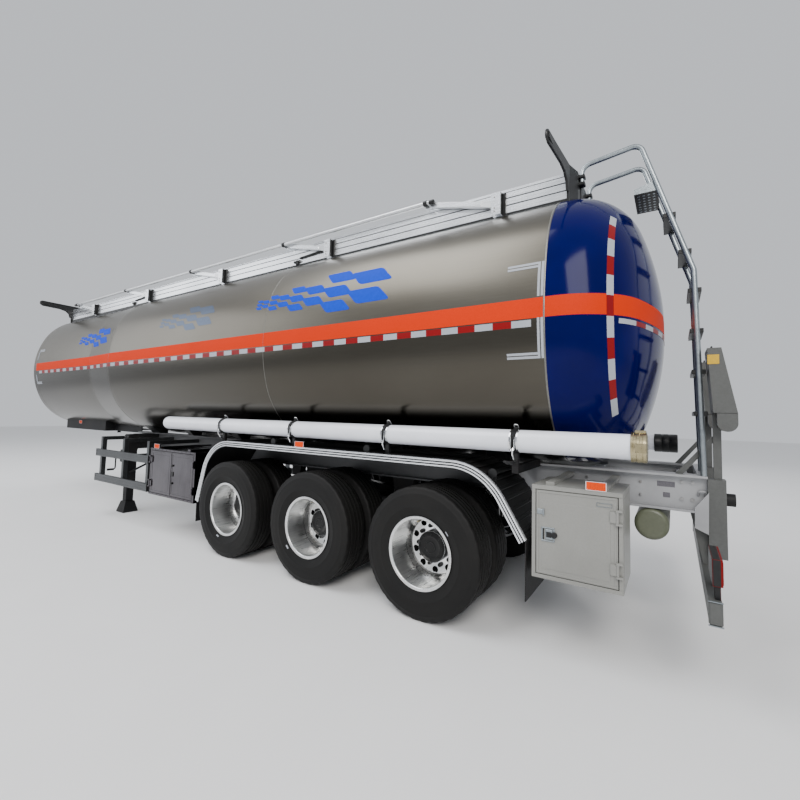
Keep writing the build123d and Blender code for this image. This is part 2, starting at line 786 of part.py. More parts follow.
# ---------------------------------------------------------------- wheels
def tyre(x, mid_y, side):
    """One tyre as a ring of flats: rows are radius to the flat and distance from the tyre's middle."""
    half = tyre_width / 2
    rows = [(rim_seat_radius + 140, half), (tyre_radius - 22, tread_width / 2 + 10), (tyre_radius, tread_width / 2 - 15)]
    rows = [(rim_seat_radius + 12, tyre_bead_width / 2)] + rows
    rows = rows + [(radius, -offset_y) for radius, offset_y in reversed(rows)]
    sections = [Plane(origin=(0, y, 0), x_dir=(1, 0, 0), z_dir=(0, -1, 0))
                * RegularPolygon(radius, tyre_flats, major_radius=False) for radius, y in rows]
    body = loft(sections, ruled=True)
    bore = Plane(origin=(0, half, 0), x_dir=(1, 0, 0), z_dir=(0, -1, 0)) * RegularPolygon(
        (rim_seat_radius + fit_gap) / cos(pi / tyre_flats), tyre_flats, major_radius=True)
    body = body - extrude(bore, tyre_width)
    return Pos(x, side * mid_y, axle_z) * body


def rims(x, side):
    """Outer and inner rim with their discs face to face, hub, cap and brake drum."""
    seat = rim_seat_radius
    wall = seat - rim_wall
    lip_in = lip_y - rim_width
    dish = wall - 14
    outer = [(seat, lip_y - rim_flange), (rim_lip_radius, lip_y - rim_flange), (rim_lip_radius, lip_y),
             (wall, lip_y), (wall - 4, lip_in + 60), (dish, lip_in + 10),
             (dish - 20, disc_face_y + disc_thickness), (50, disc_face_y + disc_thickness),
             (50, disc_face_y), (seat - 14, disc_face_y), (seat - 8, lip_in - 12), (rim_lip_radius, lip_in - 2),
             (rim_lip_radius, lip_in + rim_flange), (seat, lip_in + rim_flange)]
    inner = [(r, 2 * disc_face_y - y) for r, y in outer]
    drum_end = disc_face_y - disc_thickness
    drum = [(110, drum_end), (drum_radius, drum_end), (drum_radius, drum_end - drum_width),
            (drum_radius - 18, drum_end - drum_width), (drum_radius - 18, drum_end - 16), (110, drum_end - 16)]
    cap_end = disc_face_y + disc_thickness + hub_cap_reach
    hub = [(0, cap_end), (hub_cap_radius - hub_cap_chamfer, cap_end), (hub_cap_radius, cap_end - hub_cap_chamfer),
           (hub_cap_radius, disc_face_y), (112, disc_face_y), (112, drum_end - 150), (0, drum_end - 150)]
    body = joined(spun_y(outer), spun_y(inner), spun_y(drum), spun_y(hub))
    body = body - bar_y(0, 0, spindle_end + 2, 0, spindle_radius + fit_gap)
    for n in range(hand_hole_count):
        angle = 2 * pi * (n + 0.5) / hand_hole_count
        hx, hz = hand_hole_circle_radius * cos(angle), hand_hole_circle_radius * sin(angle)
        body = body - bar_y(hx, disc_face_y - disc_thickness - 4, disc_face_y + disc_thickness + 4, hz, hand_hole_radius)
    return Pos(x, 0, axle_z) * on_side(body, side)


for n, x in enumerate(axle_x, 1):
    for label, side in sides:
        parts[f"tyres_{n}_{label}"] = together([tyre(x, mid, side) for mid in (rim_mid_y, inner_rim_mid_y)])
        parts[f"rims_{n}_{label}"] = rims(x, side)


# ---------------------------------------------------------------- side brackets, hose tubes, mudguards
bracket_inner_y = rail_y + rail_web / 2
post_y = hose_tube_y
bracket_top = mudguard_top - mudguard_thickness - fit_gap
hose_front = from_axle(hose_tube_front_x)


def side_bracket(distance, side):
    """Arm out from the rail's web with a post up to a clamp ring round the hose tube."""
    x = from_axle(distance)
    hose_z = hose_height[side]
    x0, x1 = x - bracket_depth / 2, x + bracket_depth / 2
    low = bracket_top - bracket_height
    arm = block(x0, x1, bracket_inner_y + fit_gap, post_y + 25, low, bracket_top)
    arm = arm - block(x0 - 1, x1 + 1, 0, rail_y + rail_flange / 2 + fit_gap,
                      rail_top - rail_flange_thickness - fit_gap, rail_top + bracket_height)
    post = block(x0 + 5, x1 - 5, post_y - 18, post_y + 18, low, hose_z - hose_tube_radius)
    ring_out = rod((x - strap_width / 2, hose_tube_y, hose_z), (x + strap_width / 2, hose_tube_y, hose_z),
                   hose_tube_radius + strap_thickness + fit_gap)
    ring_in = rod((x - strap_width, hose_tube_y, hose_z), (x + strap_width, hose_tube_y, hose_z),
                  hose_tube_radius + fit_gap)
    return on_side(joined(arm, post, ring_out) - ring_in, side)


parts["side_brackets"] = together([side_bracket(d, side) for _, side in sides for d in bracket_x])


def hose_tube(side):
    y, z = side * hose_tube_y, hose_height[side]
    hose_rear = from_axle(hose_rear_x[side])
    body = rod((hose_rear, y, z), (hose_front, y, z), hose_tube_radius)
    front_edge = body.edges().sort_by(Axis.X)[-1]
    body = fillet(front_edge, hose_tube_radius * 0.5)
    cap = rod((hose_rear - 8, y, z), (hose_rear - 8 + hose_cap_length, y, z), hose_cap_radius)
    return body + cap


for label, side in sides:
    parts[f"hose_tube_{label}"] = hose_tube(side)


def mudguard(side):
    """Long guard over the three wheels: bent sheet with a deeper outer lip, cut out for the posts."""
    points = [(from_axle(mudguard_rear_x), mudguard_rear_bottom), (from_axle(mudguard_rear_knee_x), mudguard_top),
              (from_axle(mudguard_front_knee_x), mudguard_top), (from_axle(mudguard_front_x), mudguard_front_bottom)]
    line = FilletPolyline(*points, radius=mudguard_bend_radius)
    sheet = extrude(Plane.XZ * make_face(offset(line, mudguard_thickness, side=Side.RIGHT)),
                    mudguard_outer_y - mudguard_inner_y)
    lip = extrude(Plane.XZ * make_face(offset(line, mudguard_lip, side=Side.RIGHT)), mudguard_thickness)
    body = Pos(0, mudguard_outer_y, 0) * (sheet + lip)
    for distance in bracket_x:
        x = from_axle(distance)
        half = bracket_depth / 2 - 5 + fit_gap
        body = body - block(x - half, x + half, post_y - 18 - fit_gap, post_y + 18 + fit_gap,
                            mudguard_top - 60, mudguard_top + 60)
    return on_side(body, side)


flap_thickness = 8.0
rear_flap_bottom = 360.0
front_flap_bottom = 300.0


def mud_flap(end_x, end_z, knee_x, bottom, side):
    """Rubber flap hanging from the mudguard's end, just under the sheet's lowest corner."""
    slope = atan2(mudguard_top - end_z, abs(knee_x - end_x))
    top = end_z - mudguard_thickness * cos(slope) - fit_gap
    toward = 1 if knee_x > end_x else -1
    x = from_axle(end_x) + toward * mudguard_thickness * sin(slope)
    return block(x - flap_thickness / 2, x + flap_thickness / 2, side * (mudguard_inner_y + 20),
                 side * (mudguard_outer_y - 10), bottom, top)


for label, side in sides:
    parts[f"mudguard_{label}"] = mudguard(side)
parts["mud_flaps"] = together(
    [mud_flap(mudguard_rear_x, mudguard_rear_bottom, mudguard_rear_knee_x, rear_flap_bottom, side) for _, side in sides]
    + [mud_flap(mudguard_front_x, mudguard_front_bottom, mudguard_front_knee_x, front_flap_bottom, side)
       for _, side in sides])


# ---------------------------------------------------------------- lockers on the left side
hinge_stand = 5.0
hinge_pin_radius = 4.0
hinge_axis_y = box_face_y + hinge_stand + box_hinge_radius
box_arm_height = 26.0
box_arm_width = 60.0


def door_hinge(axis_x, z, toward):
    """One barrel hinge; toward is +1 where the door lies ahead of its axis. Gives fixed and moving pieces."""
    half = box_hinge_length / 2
    ear = 14.0
    r = box_hinge_radius
    fixed = [rod((axis_x, hinge_axis_y, z - half - ear), (axis_x, hinge_axis_y, z + half + ear), hinge_pin_radius)]
    for low in (z - half - ear, z + half + 1.0):
        high = low + ear - 1.0
        fixed.append(block(axis_x - toward * 30, axis_x - toward * door_gap, box_face_y, hinge_axis_y + r, low, high))
        fixed.append(block(axis_x - toward * 30, axis_x + toward * r, box_face_y + hinge_stand, hinge_axis_y + r,
                           low, high))
    barrel = rod((axis_x, hinge_axis_y, z - half), (axis_x, hinge_axis_y, z + half), r)
    leaf = block(axis_x, axis_x + toward * 45, box_face_y - 2, hinge_axis_y, z - half, z + half)
    bore = rod((axis_x, hinge_axis_y, z - half - 1), (axis_x, hinge_axis_y, z + half + 1), hinge_pin_radius + fit_gap)
    return joined(*fixed), (barrel + leaf), bore


def locker(rear_x, length, bottom, height, depth, leaves):
    """Hollow box open on its outer face, and its door leaves with their hinge axes."""
    x0, x1 = from_axle(rear_x), from_axle(rear_x) + length
    y0, y1 = box_face_y - depth, box_face_y
    top = bottom + height
    body = block(x0, x1, y0, y1, bottom, top)
    body = body - block(x0 + box_wall, x1 - box_wall, y0 + box_wall, y1 + 1, bottom + box_wall, top - box_wall)
    for x in (x0 + length * 0.2, x1 - length * 0.2):
        body = body + block(x - box_arm_width / 2, x + box_arm_width / 2, bracket_inner_y + fit_gap, y1 - 40,
                            top, top + box_arm_height)
    left, right = x0 + box_wall + door_gap, x1 - box_wall - door_gap
    low, high = bottom + box_wall + door_gap, top - box_wall - door_gap
    middle = (left + right) / 2
    spans = [(left, right, 1)] if leaves == 1 else [(left, middle - door_gap / 2, 1), (middle + door_gap / 2, right, -1)]
    doors = []
    for start, end, toward in spans:
        door = block(start, end, y1 - door_thickness, y1, low, high)
        axis_x = start if toward > 0 else end
        for z in (bottom + height * 0.24, bottom + height * 0.76):
            fixed, moving, bore = door_hinge(axis_x, z, toward)
            body = body + fixed
            door = (door + moving) - bore
        doors.append((door, axis_x, toward))
    return body, doors


tool_box, tool_doors = locker(tool_box_rear_x, tool_box_length, tool_box_bottom, tool_box_height, tool_box_depth, 1)
cabinet, cabinet_doors = locker(cabinet_rear_x, cabinet_length, cabinet_bottom, cabinet_height, cabinet_depth, 2)
parts["tool_box"] = tool_box
parts["tool_box_door"] = tool_doors[0][0]
parts["valve_cabinet"] = cabinet
parts["cabinet_door_rear"] = cabinet_doors[0][0]
parts["cabinet_door_front"] = cabinet_doors[1][0]


# ---------------------------------------------------------------- side guards
guard_arm_bottom = 1160.0
guard_arm_top = 1215.0
guard_post_inset = 90.0


def side_guard(rear_x, side, post_number):
    x0, x1 = from_axle(rear_x), from_axle(guard_front_x)
    back = guard_face_y - guard_plank_depth
    pieces = [block(x0, x1, back, guard_face_y, low, low + guard_plank_height)
              for low in (guard_bottom, guard_top - guard_plank_height)]
    first, last = x0 + guard_post_inset, x1 - guard_post_inset
    for n in range(post_number):
        x = first + (last - first) * n / (post_number - 1)
        half = guard_post_size / 2
        pieces.append(block(x - half, x + half, back - guard_post_size, back, guard_bottom, guard_arm_top))
        pieces.append(block(x - half, x + half, bracket_inner_y + fit_gap, back, guard_arm_bottom, guard_arm_top))
    return on_side(joined(*pieces), side)


parts["side_guard_left"] = side_guard(guard_rear_x_left, 1, 3)
parts["side_guard_right"] = side_guard(guard_rear_x_right, -1, 4)


# ---------------------------------------------------------------- landing legs
leg_bore = leg_housing / 2 - leg_housing_wall
leg_inner_half = leg_bore - fit_gap
leg_centre_x = from_axle(leg_x)
leg_bracket_half = 100.0


def leg_housing_left():
    x, half = leg_centre_x, leg_housing / 2
    tube = block(x - half, x + half, leg_y - half, leg_y + half, leg_housing_bottom, leg_housing_top)
    tube = tube - block(x - leg_bore, x + leg_bore, leg_y - leg_bore, leg_y + leg_bore,
                        leg_housing_bottom - 1, leg_inner_top + 20)
    bracket = block(x - leg_bracket_half, x + leg_bracket_half, bracket_inner_y + fit_gap, leg_y - half,
                    rail_bottom + rail_flange_thickness + fit_gap, rail_top - rail_flange_thickness - fit_gap)
    return tube + bracket


housing = leg_housing_left()
shaft = bar_y(leg_centre_x, -(leg_y - leg_bore - 5), leg_y - leg_bore - 5, leg_shaft_height, leg_shaft_radius)
parts["landing_leg_housings"] = joined(housing, mirrored(housing), shaft)


def leg_foot():
    """Inner leg on a sand shoe that narrows upwards."""
    x, half = leg_centre_x, leg_inner_half
    inner = block(x - half, x + half, leg_y - half, leg_y + half, leg_foot_sole, leg_inner_top)
    wide = Pos(x, leg_y, leg_foot_sole) * Rectangle(leg_foot_length, leg_foot_width)
    narrow = Pos(x, leg_y, leg_foot_height) * Rectangle(leg_foot_length - 2 * leg_foot_taper,
                                                       leg_foot_width - 2 * leg_foot_taper)
    shoe = loft([wide, narrow], ruled=True)
    sole = block(x - leg_foot_length / 2, x + leg_foot_length / 2, leg_y - leg_foot_width / 2,
                 leg_y + leg_foot_width / 2, 0, leg_foot_sole)
    return joined(inner, shoe, sole)


foot = leg_foot()
parts["landing_leg_feet"] = together([foot, mirrored(foot)])


# ---------------------------------------------------------------- rear end
upright_rear = rail_rear - upright_depth
bumper_front = rail_rear + bumper_ahead
bumper_rear = bumper_front - bumper_depth
bumper_top = bumper_bottom + bumper_height
sign_post_x = rail_rear - 40.0 - sign_post_size


def rear_upright(side):
    """Upright behind a rail's end with its brace plate, sign post and diagonal stay."""
    y = rail_y
    half = upright_width / 2
    column = block(upright_rear, rail_rear - fit_gap, y - half, y + half, upright_bottom, rail_top - 20)
    plate = prism_y([(rail_rear + gusset_length, rail_bottom - fit_gap),
                     (rail_rear + gusset_length - gusset_slant, rail_bottom - gusset_drop),
                     (bumper_front - 0.2 * bumper_depth, bumper_top - 10), (bumper_rear + 0.2 * bumper_depth, bumper_top - 10),
                     (rail_rear - 20, upright_bottom), (rail_rear - 20, rail_bottom - fit_gap)],
                    y - gusset_thickness / 2, y + gusset_thickness / 2)
    post = block(sign_post_x, sign_post_x + sign_post_size, y - sign_post_size / 2, y + sign_post_size / 2,
                 rail_top - 20, sign_box_bottom - fit_gap)
    stay_head = sign_post_x + sign_post_size - 5
    stay = prism_y([(rail_rear + stay_reach - stay_width, rail_top + fit_gap), (rail_rear + stay_reach, rail_top + fit_gap),
                    (stay_head, rail_top + stay_rise), (stay_head, rail_top + stay_rise - stay_width)],
                   y - stay_thickness / 2, y + stay_thickness / 2)
    return on_side(joined(column, plate, post, stay), side)


bumper_bar = block(bumper_rear, bumper_front, -bumper_half_width, bumper_half_width, bumper_bottom, bumper_top)
bumper_bar = fillet(bumper_bar.edges().filter_by(Axis.Z), bumper_depth * 0.3)
parts["rear_bumper"] = joined(bumper_bar, rear_upright(1), rear_upright(-1))


def sign_box(side):
    """Tapered closed box on the sign post, with a round-bottomed lamp housing under its rear half."""
    front = rear_end + sign_box_bottom_depth
    outline = [(rear_end, sign_box_bottom), (front, sign_box_bottom), (front + sign_box_lean, sign_box_top),
               (front + sign_box_lean - sign_box_top_depth, sign_box_top)]
    y0 = side * (rail_y + sign_box_outer - sign_box_width)
    y1 = side * (rail_y + sign_box_outer)
    radius = marker_depth / 2
    low = sign_box_bottom - marker_height + radius
    housing = joined(block(rear_end, rear_end + marker_depth, y0, y1, low, sign_box_bottom),
                     bar_y(rear_end + radius, y0, y1, low, radius))
    post_room = block(sign_post_x - fit_gap, sign_post_x + sign_post_size + fit_gap,
                      side * (rail_y - sign_post_size / 2 - fit_gap), side * (rail_y + sign_post_size / 2 + fit_gap),
                      low - radius, sign_box_bottom)
    return prism_y(outline, y0, y1) + (housing - post_room)


parts["sign_boxes"] = together([sign_box(side) for _, side in sides])


def buffer(side):
    z = rail_bottom + buffer_rise
    return rod((upright_rear - buffer_length, side * rail_y, z), (upright_rear - fit_gap, side * rail_y, z), buffer_radius)


parts["rear_buffers"] = together([buffer(side) for _, side in sides])


# ladder: one bent tube each side, a deep landing at the top and box treads below
handrail_x = walk_rear - end_plate_bulge - end_plate_thickness - ladder_tube_radius - fit_gap
ladder_line_top = ladder_top - ladder_tube_radius
ladder_knee = (from_axle(-ladder_knee_x), ladder_knee_z)
ladder_corner = (from_axle(-ladder_corner_x), ladder_line_top)
ladder_foot = (from_axle(-ladder_foot_x), rail_top + 3 * fit_gap)
handrail_foot = (handrail_x, horn_top - handrail_foot_drop)
handrail_corner = (handrail_x, ladder_line_top - handrail_fall)


def stile(side):
    points = [handrail_foot, handrail_corner, ladder_corner, ladder_knee, ladder_foot]
    path = FilletPolyline(*[(x, 0, z) for x, z in points], radius=ladder_bend_radius)
    start = Plane(origin=path @ 0, z_dir=path % 0)
    return Pos(0, ladder_middle_y + side * ladder_half_width, 0) * sweep(start * Circle(ladder_tube_radius), path)


def ladder_line(z):
    """X of the stiles at a height below the corner."""
    (xc, zc), (xk, zk), (xf, zf) = ladder_corner, ladder_knee, ladder_foot
    if z > zk:
        return xk + (xc - xk) * (z - zk) / (zc - zk)
    return xf + (xk - xf) * (z - zf) / (zk - zf)


def tread(x0, x1, top):
    return block(x0, x1, ladder_middle_y - ladder_half_width, ladder_middle_y + ladder_half_width,
                 top - tread_thickness, top)


landing_x = ladder_line(landing_z)
rungs = [tread(landing_x, landing_x + landing_depth, landing_z)]
for side in (1, -1):
    y = ladder_middle_y + side * (ladder_half_width - 4)
    rungs.append(prism_y([(landing_x, landing_z - 1), (landing_x + landing_depth, landing_z - 1),
                          (landing_x + landing_depth, landing_z + 0.3 * landing_cheek),
                          (ladder_line(landing_z + landing_cheek), landing_z + landing_cheek)], y - 4, y + 4))
for n in range(tread_count):
    z = tread_top_z - n * tread_pitch
    x = ladder_line(z)
    rungs.append(tread(x - tread_depth / 2, x + tread_depth / 2, z))
parts["ladder"] = joined(stile(1), stile(-1), *rungs)


# ---------------------------------------------------------------- air reservoir and lamps
reservoir_z = rail_bottom - reservoir_radius - 4.0
tank_y = rail_y + reservoir_overhang
reservoir = bar_y(from_axle(reservoir_x), -tank_y, tank_y, reservoir_z, reservoir_radius)
reservoir = fillet(reservoir.edges().filter_by(GeomType.CIRCLE), 35)
strap_half = 20.0
for side in (1, -1):
    y = side * rail_y
    hanger_block = block(from_axle(reservoir_x) - 30, from_axle(reservoir_x) + 30, y - strap_half, y + strap_half,
                         reservoir_z, rail_bottom - fit_gap)
    reservoir = reservoir + hanger_block
parts["air_reservoir"] = reservoir

# side lamps: columns are station, underside height, outer face
side_lamp_table = ((from_axle(-1348), tool_box_bottom + tool_box_height, box_face_y),
                   (from_axle(1478), mudguard_top, mudguard_outer_y),
                   (from_axle(4300), cabinet_bottom + cabinet_height, box_face_y),
                   (coupler_front - coupler_lamp_back, coupler_underside + 110,
                    coupler_width / 2 + side_lamp_depth + fit_gap))


def side_lamp(x, underside, face_y, side):
    return block(x - side_lamp_length / 2, x + side_lamp_length / 2, side * (face_y - side_lamp_depth), side * face_y,
                 underside + fit_gap, underside + side_lamp_height)


lamp_list = [side_lamp(*row, 1) for row in side_lamp_table] + [side_lamp(*side_lamp_table[n], -1) for n in (1, 3)]
parts["side_lamps"] = together(lamp_list)


def rear_lamp(side):
    """Lamp cluster over the bumper's end, on two feet."""
    outer = bumper_half_width - 30
    x0 = bumper_rear - 8
    bottom = bumper_top + rear_lamp_rise
    lamp = block(x0, x0 + rear_lamp_depth, side * outer, side * (outer - rear_lamp_length), bottom, bottom + rear_lamp_height)
    for near in (outer - rear_lamp_foot / 2, outer - rear_lamp_length + 1.5 * rear_lamp_foot):
        lamp = lamp + block(x0 + 10, x0 + rear_lamp_depth - 10, side * near, side * (near - rear_lamp_foot),
                            bumper_top + fit_gap, bottom + 5)
    return lamp


parts["rear_lamps"] = together([rear_lamp(side) for _, side in sides])


# ---------------------------------------------------------------- export
def main():
    os.makedirs("parts", exist_ok=True)
    for name, shape in parts.items():
        export_step(shape, f"parts/{name}.step")


main()
everything = [shape.bounding_box() for shape in parts.values()]
print("nodes", len(parts), "x", round(min(b.min.X for b in everything), 2), round(max(b.max.X for b in everything), 2),
      "y", round(min(b.min.Y for b in everything), 2), round(max(b.max.Y for b in everything), 2),
      "z", round(min(b.min.Z for b in everything), 2), round(max(b.max.Z for b in everything), 2))
print("hinges", [(round(x, 1), toward) for _, x, toward in tool_doors + cabinet_doors], round(hinge_axis_y, 1))
print("lid hinges", [round(x - lid_hinge_offset, 1) for x in manhole_x], round(lid_hinge_z, 1))
print("arms", [round(x, 1) for x in post_x], round(arm_y, 1), arm_pivot_height, "tips", round(arm_run, 2),
      arm_tip_height, round(guard_tube_y, 1))
print("axles", axle_x, axle_z, "kingpin", kingpin_x, coupler_underside, "volume",
      round(sum(shape.volume for shape in parts.values()) / 1e9, 2))
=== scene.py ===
# %% [markdown]
# # A tank semi-trailer, dressed in Blender
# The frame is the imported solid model: every body, node and joint stands where the maker put
# it. This file adds the surfaces that the eye looks for. Each step says what the thing is on
# a real trailer, how it could be made, and why it is made this way here. Units are metres,
# +X is forward, +Y is the trailer's left and +Z is up.

# %% Load the frame
import json

import bmesh
import bpy
import numpy as np
from mathutils import Matrix


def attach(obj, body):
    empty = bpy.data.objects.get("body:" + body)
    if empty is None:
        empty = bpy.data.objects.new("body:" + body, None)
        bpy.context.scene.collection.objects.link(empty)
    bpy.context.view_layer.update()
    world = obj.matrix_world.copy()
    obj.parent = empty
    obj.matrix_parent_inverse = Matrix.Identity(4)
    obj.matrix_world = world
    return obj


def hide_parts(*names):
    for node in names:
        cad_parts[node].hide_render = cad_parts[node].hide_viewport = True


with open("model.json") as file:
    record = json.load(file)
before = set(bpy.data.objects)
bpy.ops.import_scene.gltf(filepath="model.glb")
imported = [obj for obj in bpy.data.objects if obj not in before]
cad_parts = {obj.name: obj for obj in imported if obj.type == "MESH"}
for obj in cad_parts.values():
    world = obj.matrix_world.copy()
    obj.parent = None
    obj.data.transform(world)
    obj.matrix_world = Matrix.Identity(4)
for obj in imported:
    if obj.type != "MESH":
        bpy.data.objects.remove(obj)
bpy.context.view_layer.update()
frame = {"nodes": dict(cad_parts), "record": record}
nodes = frame["nodes"]

# %% [markdown]
# ## Helpers for surfaces
# A surface can be drawn by hand, carved from a block or worked out. Here nearly all are
# worked out: a grid of points is a function of two parameters, and numpy computes the whole
# grid at once. One helper turns any grid into a mesh, and the shapes that repeat on a
# trailer (tubes, plates, turned parts) are grids too.


# %% Grid to mesh
def add_mesh(name, points, faces, finish, body):
    """Points is an N by 3 array and faces a list of index rows. The piece rides on a body."""
    mesh = bpy.data.meshes.new(name)
    mesh.from_pydata(np.asarray(points, float).tolist(), [], [list(map(int, f)) for f in faces])
    mesh.update()
    mesh.polygons.foreach_set("use_smooth", np.ones(len(mesh.polygons), bool))
    piece = bpy.data.objects.new(name, mesh)
    bpy.context.scene.collection.objects.link(piece)
    piece.data.materials.append(finish)
    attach(piece, body)
    print(name, "on", body, "points", len(points), "faces", len(faces))
    return piece


def grid_faces(rows, columns, wrap_rows=False, wrap_columns=False):
    """Quads between neighbouring grid points, numbered row by row."""
    i = np.arange(rows if wrap_rows else rows - 1)[:, None]
    j = np.arange(columns if wrap_columns else columns - 1)[None, :]
    i2, j2 = (i + 1) % rows, (j + 1) % columns
    quads = np.stack([i * columns + j, i2 * columns + j, i2 * columns + j2, i * columns + j2], -1)
    return quads.reshape(-1, 4)


def gathered(pieces):
    """Several (points, faces) pairs as one pair, with the later face numbers moved up."""
    points, faces, count = [], [], 0
    for p, f in pieces:
        points.append(p)
        faces += [[k + count for k in row] for row in (f.tolist() if hasattr(f, "tolist") else f)]
        count += len(p)
    return np.concatenate(points), faces


def sharpened(piece, angle=35.0):
    """Edges that turn by more than the angle stay crisp in a smooth mesh."""
    piece.data.set_sharp_from_angle(angle=np.radians(angle))
    return piece


# %% Boxes and turned parts
SIDES = (1, -1)  # left and right
POLE = 0.0005    # radius at which a turned shape ends on its axis


def box_shape(low, high, chamfer=0.004):
    """A box whose twelve edges are cut at 45 degrees: three points at each corner, one for each face."""
    low, high = np.minimum(low, high).astype(float), np.maximum(low, high).astype(float)
    c = min(chamfer, 0.45 * float((high - low).min()))
    middle, half = (low + high) / 2, (high - low) / 2
    signs = np.array([[x, y, z] for x in (-1, 1) for y in (-1, 1) for z in (-1, 1)], float)
    insets = np.array([[0, c, c], [c, 0, c], [c, c, 0]])
    points = (middle + signs[:, None, :] * (half - insets[None])).reshape(-1, 3)
    hull = []
    for axis in range(3):
        u, v = [(1, 2), (2, 0), (0, 1)][axis]
        for s in (-1, 1):
            ring = [k for k in range(8) if signs[k][axis] == s]
            ring.sort(key=lambda k: np.arctan2(signs[k][v], signs[k][u]) * s)
            hull.append([k * 3 + axis for k in ring])
        for su in (-1, 1):
            for sv in (-1, 1):
                a = [k for k in range(8) if signs[k][u] == su and signs[k][v] == sv]
                a.sort(key=lambda k: signs[k][axis])
                face = [a[0] * 3 + u, a[1] * 3 + u, a[1] * 3 + v, a[0] * 3 + v]
                hull.append(face if su * sv > 0 else face[::-1])
    for k in range(8):
        face = [k * 3, k * 3 + 1, k * 3 + 2]
        hull.append(face if signs[k].prod() > 0 else face[::-1])
    return points, hull


def turned(profile, centre, axis="y", sides=48, closed=False):
    """A profile of (radius, distance) rows turned about an axis through the centre."""
    profile = np.asarray(profile, float)
    angle = np.linspace(0, 2 * np.pi, sides, endpoint=False)
    radius, along = profile[:, 0][:, None], profile[:, 1][:, None] + 0 * angle[None, :]
    a, b = radius * np.cos(angle), radius * np.sin(angle)
    order = {"x": (along, a, b), "y": (b, along, a), "z": (a, b, along)}[axis]
    points = np.stack(order, -1).reshape(-1, 3) + np.asarray(centre, float)
    return points, grid_faces(len(profile), sides, wrap_rows=closed, wrap_columns=True)[:, ::-1]


# %% Bent paths and sections carried along them
def bent(corners, radius=0.1, steps=6):
    """A path of straight runs whose corners are arcs: each arc turns evenly about its centre."""
    corners = [np.asarray(c, float) for c in corners]
    path = [corners[0]]
    for before, here, after in zip(corners, corners[1:], corners[2:]):
        a, b = before - here, after - here
        la, lb = np.linalg.norm(a), np.linalg.norm(b)
        a, b = a / la, b / lb
        half = np.arccos(np.clip(a @ b, -1, 1)) / 2
        reach = min(radius / np.tan(half), 0.48 * la, 0.48 * lb)
        centre = here + (a + b) / np.linalg.norm(a + b) * reach / np.cos(half)
        turn, t = np.pi - 2 * half, np.linspace(0, 1, steps)[:, None]
        start, end = here + a * reach - centre, here + b * reach - centre
        path += list(centre + (np.sin((1 - t) * turn) * start + np.sin(t * turn) * end) / np.sin(turn))
    return np.array(path + [corners[-1]])


def swept(section, path, up=(0, 0, 1)):
    """A closed section of (side, up) rows carried along a path, square to it, with both ends."""
    section, path, up = np.asarray(section, float), np.asarray(path, float), np.asarray(up, float)
    along = np.gradient(path, axis=0)
    along /= np.linalg.norm(along, axis=1, keepdims=True)
    side = np.cross(along, up)
    side /= np.maximum(np.linalg.norm(side, axis=1, keepdims=True), 1e-9)
    lift = np.cross(side, along)
    points = (path[:, None] + section[None, :, :1] * side[:, None] + section[None, :, 1:] * lift[:, None])
    faces = grid_faces(len(path), len(section), wrap_columns=True).tolist()
    last = (len(path) - 1) * len(section)
    faces += [list(range(len(section))), list(range(last, last + len(section)))[::-1]]
    return points.reshape(-1, 3), faces


def ring(radius, sides):
    """A round section of (side, up) rows."""
    a = np.linspace(0, 2 * np.pi, sides, endpoint=False)
    return np.stack([radius * np.cos(a), radius * np.sin(a)], -1)


def tube(path, radius, sides=12, up=(0, 0, 1)):
    """A round bar along a path."""
    return swept(ring(radius, sides), path, up)


# %% Outlines moved along an axis, and studs
def extruded(outline, start, end, axis="y"):
    """A closed outline of two coordinates moved from start to end along an axis, with both ends."""
    outline = np.asarray(outline, float)
    n = len(outline)
    level = np.repeat([start, end], n)
    two = np.tile(outline, (2, 1))
    order = {"x": (level, two[:, 0], two[:, 1]), "y": (two[:, 0], level, two[:, 1]),
             "z": (two[:, 0], two[:, 1], level)}[axis]
    faces = [[k, (k + 1) % n, n + (k + 1) % n, n + k] for k in range(n)]
    faces += [list(range(n))[::-1], list(range(n, 2 * n))]
    return np.stack(order, -1), faces


def stud(radius, height, place, axis="y", side=1, sides=12, crown=0.002):
    """A bolt's head: a turned wall and a low crown, standing out to one side along an axis."""
    rows = [(radius, 0.0), (radius, side * height), (POLE, side * (height + crown))]
    return turned(rows, place, axis, sides)


# %% Shapes gathered in one piece
def facing_out(piece):
    """Turns every face outwards, for closed shapes put together from parts."""
    work = bmesh.new()
    work.from_mesh(piece.data)
    bmesh.ops.recalc_face_normals(work, faces=work.faces)
    work.to_mesh(piece.data)
    work.free()
    return piece


def solid_piece(name, shapes, finish, body="trailer", angle=35.0, *, slot):
    """Shapes gathered in one piece, smooth but crisp at their edges, with every face outwards."""
    points, faces = gathered(shapes)
    return sharpened(facing_out(add_mesh(name, points, faces, finish, body)), angle)


def sheet_piece(name, shapes, finish):
    """Open sheets gathered in one smooth piece of the trailer."""
    points, faces = gathered(shapes)
    return add_mesh(name, points, faces, finish, "trailer")


# %% [markdown]
# ## Finishes
# A finish is more than one colour. Real metal has a slow change of tone, fine scratches that
# all run one way, and dirt that dulls it. One builder makes such a finish from a few
# numbers: noise stretched along one axis gives brushing, and broad noise gives stains. The
# pattern reads Object coordinates, so it stays put when the trailer moves.


# %% Finish builder
GRAIN_DARK, GRAIN_LIGHT = 0.3, 0.7    # noise values that take the darkest and the lightest tone
STAIN_NONE, STAIN_FULL = 0.42, 0.72   # noise values between which a stain grows
STAIN_SHARE = 0.6                     # a stain's brightness where it has no colour of its own
COAT_ROUGHNESS = 0.06
BUMP_UNIT = 0.01                      # metres of relief for a bump of one


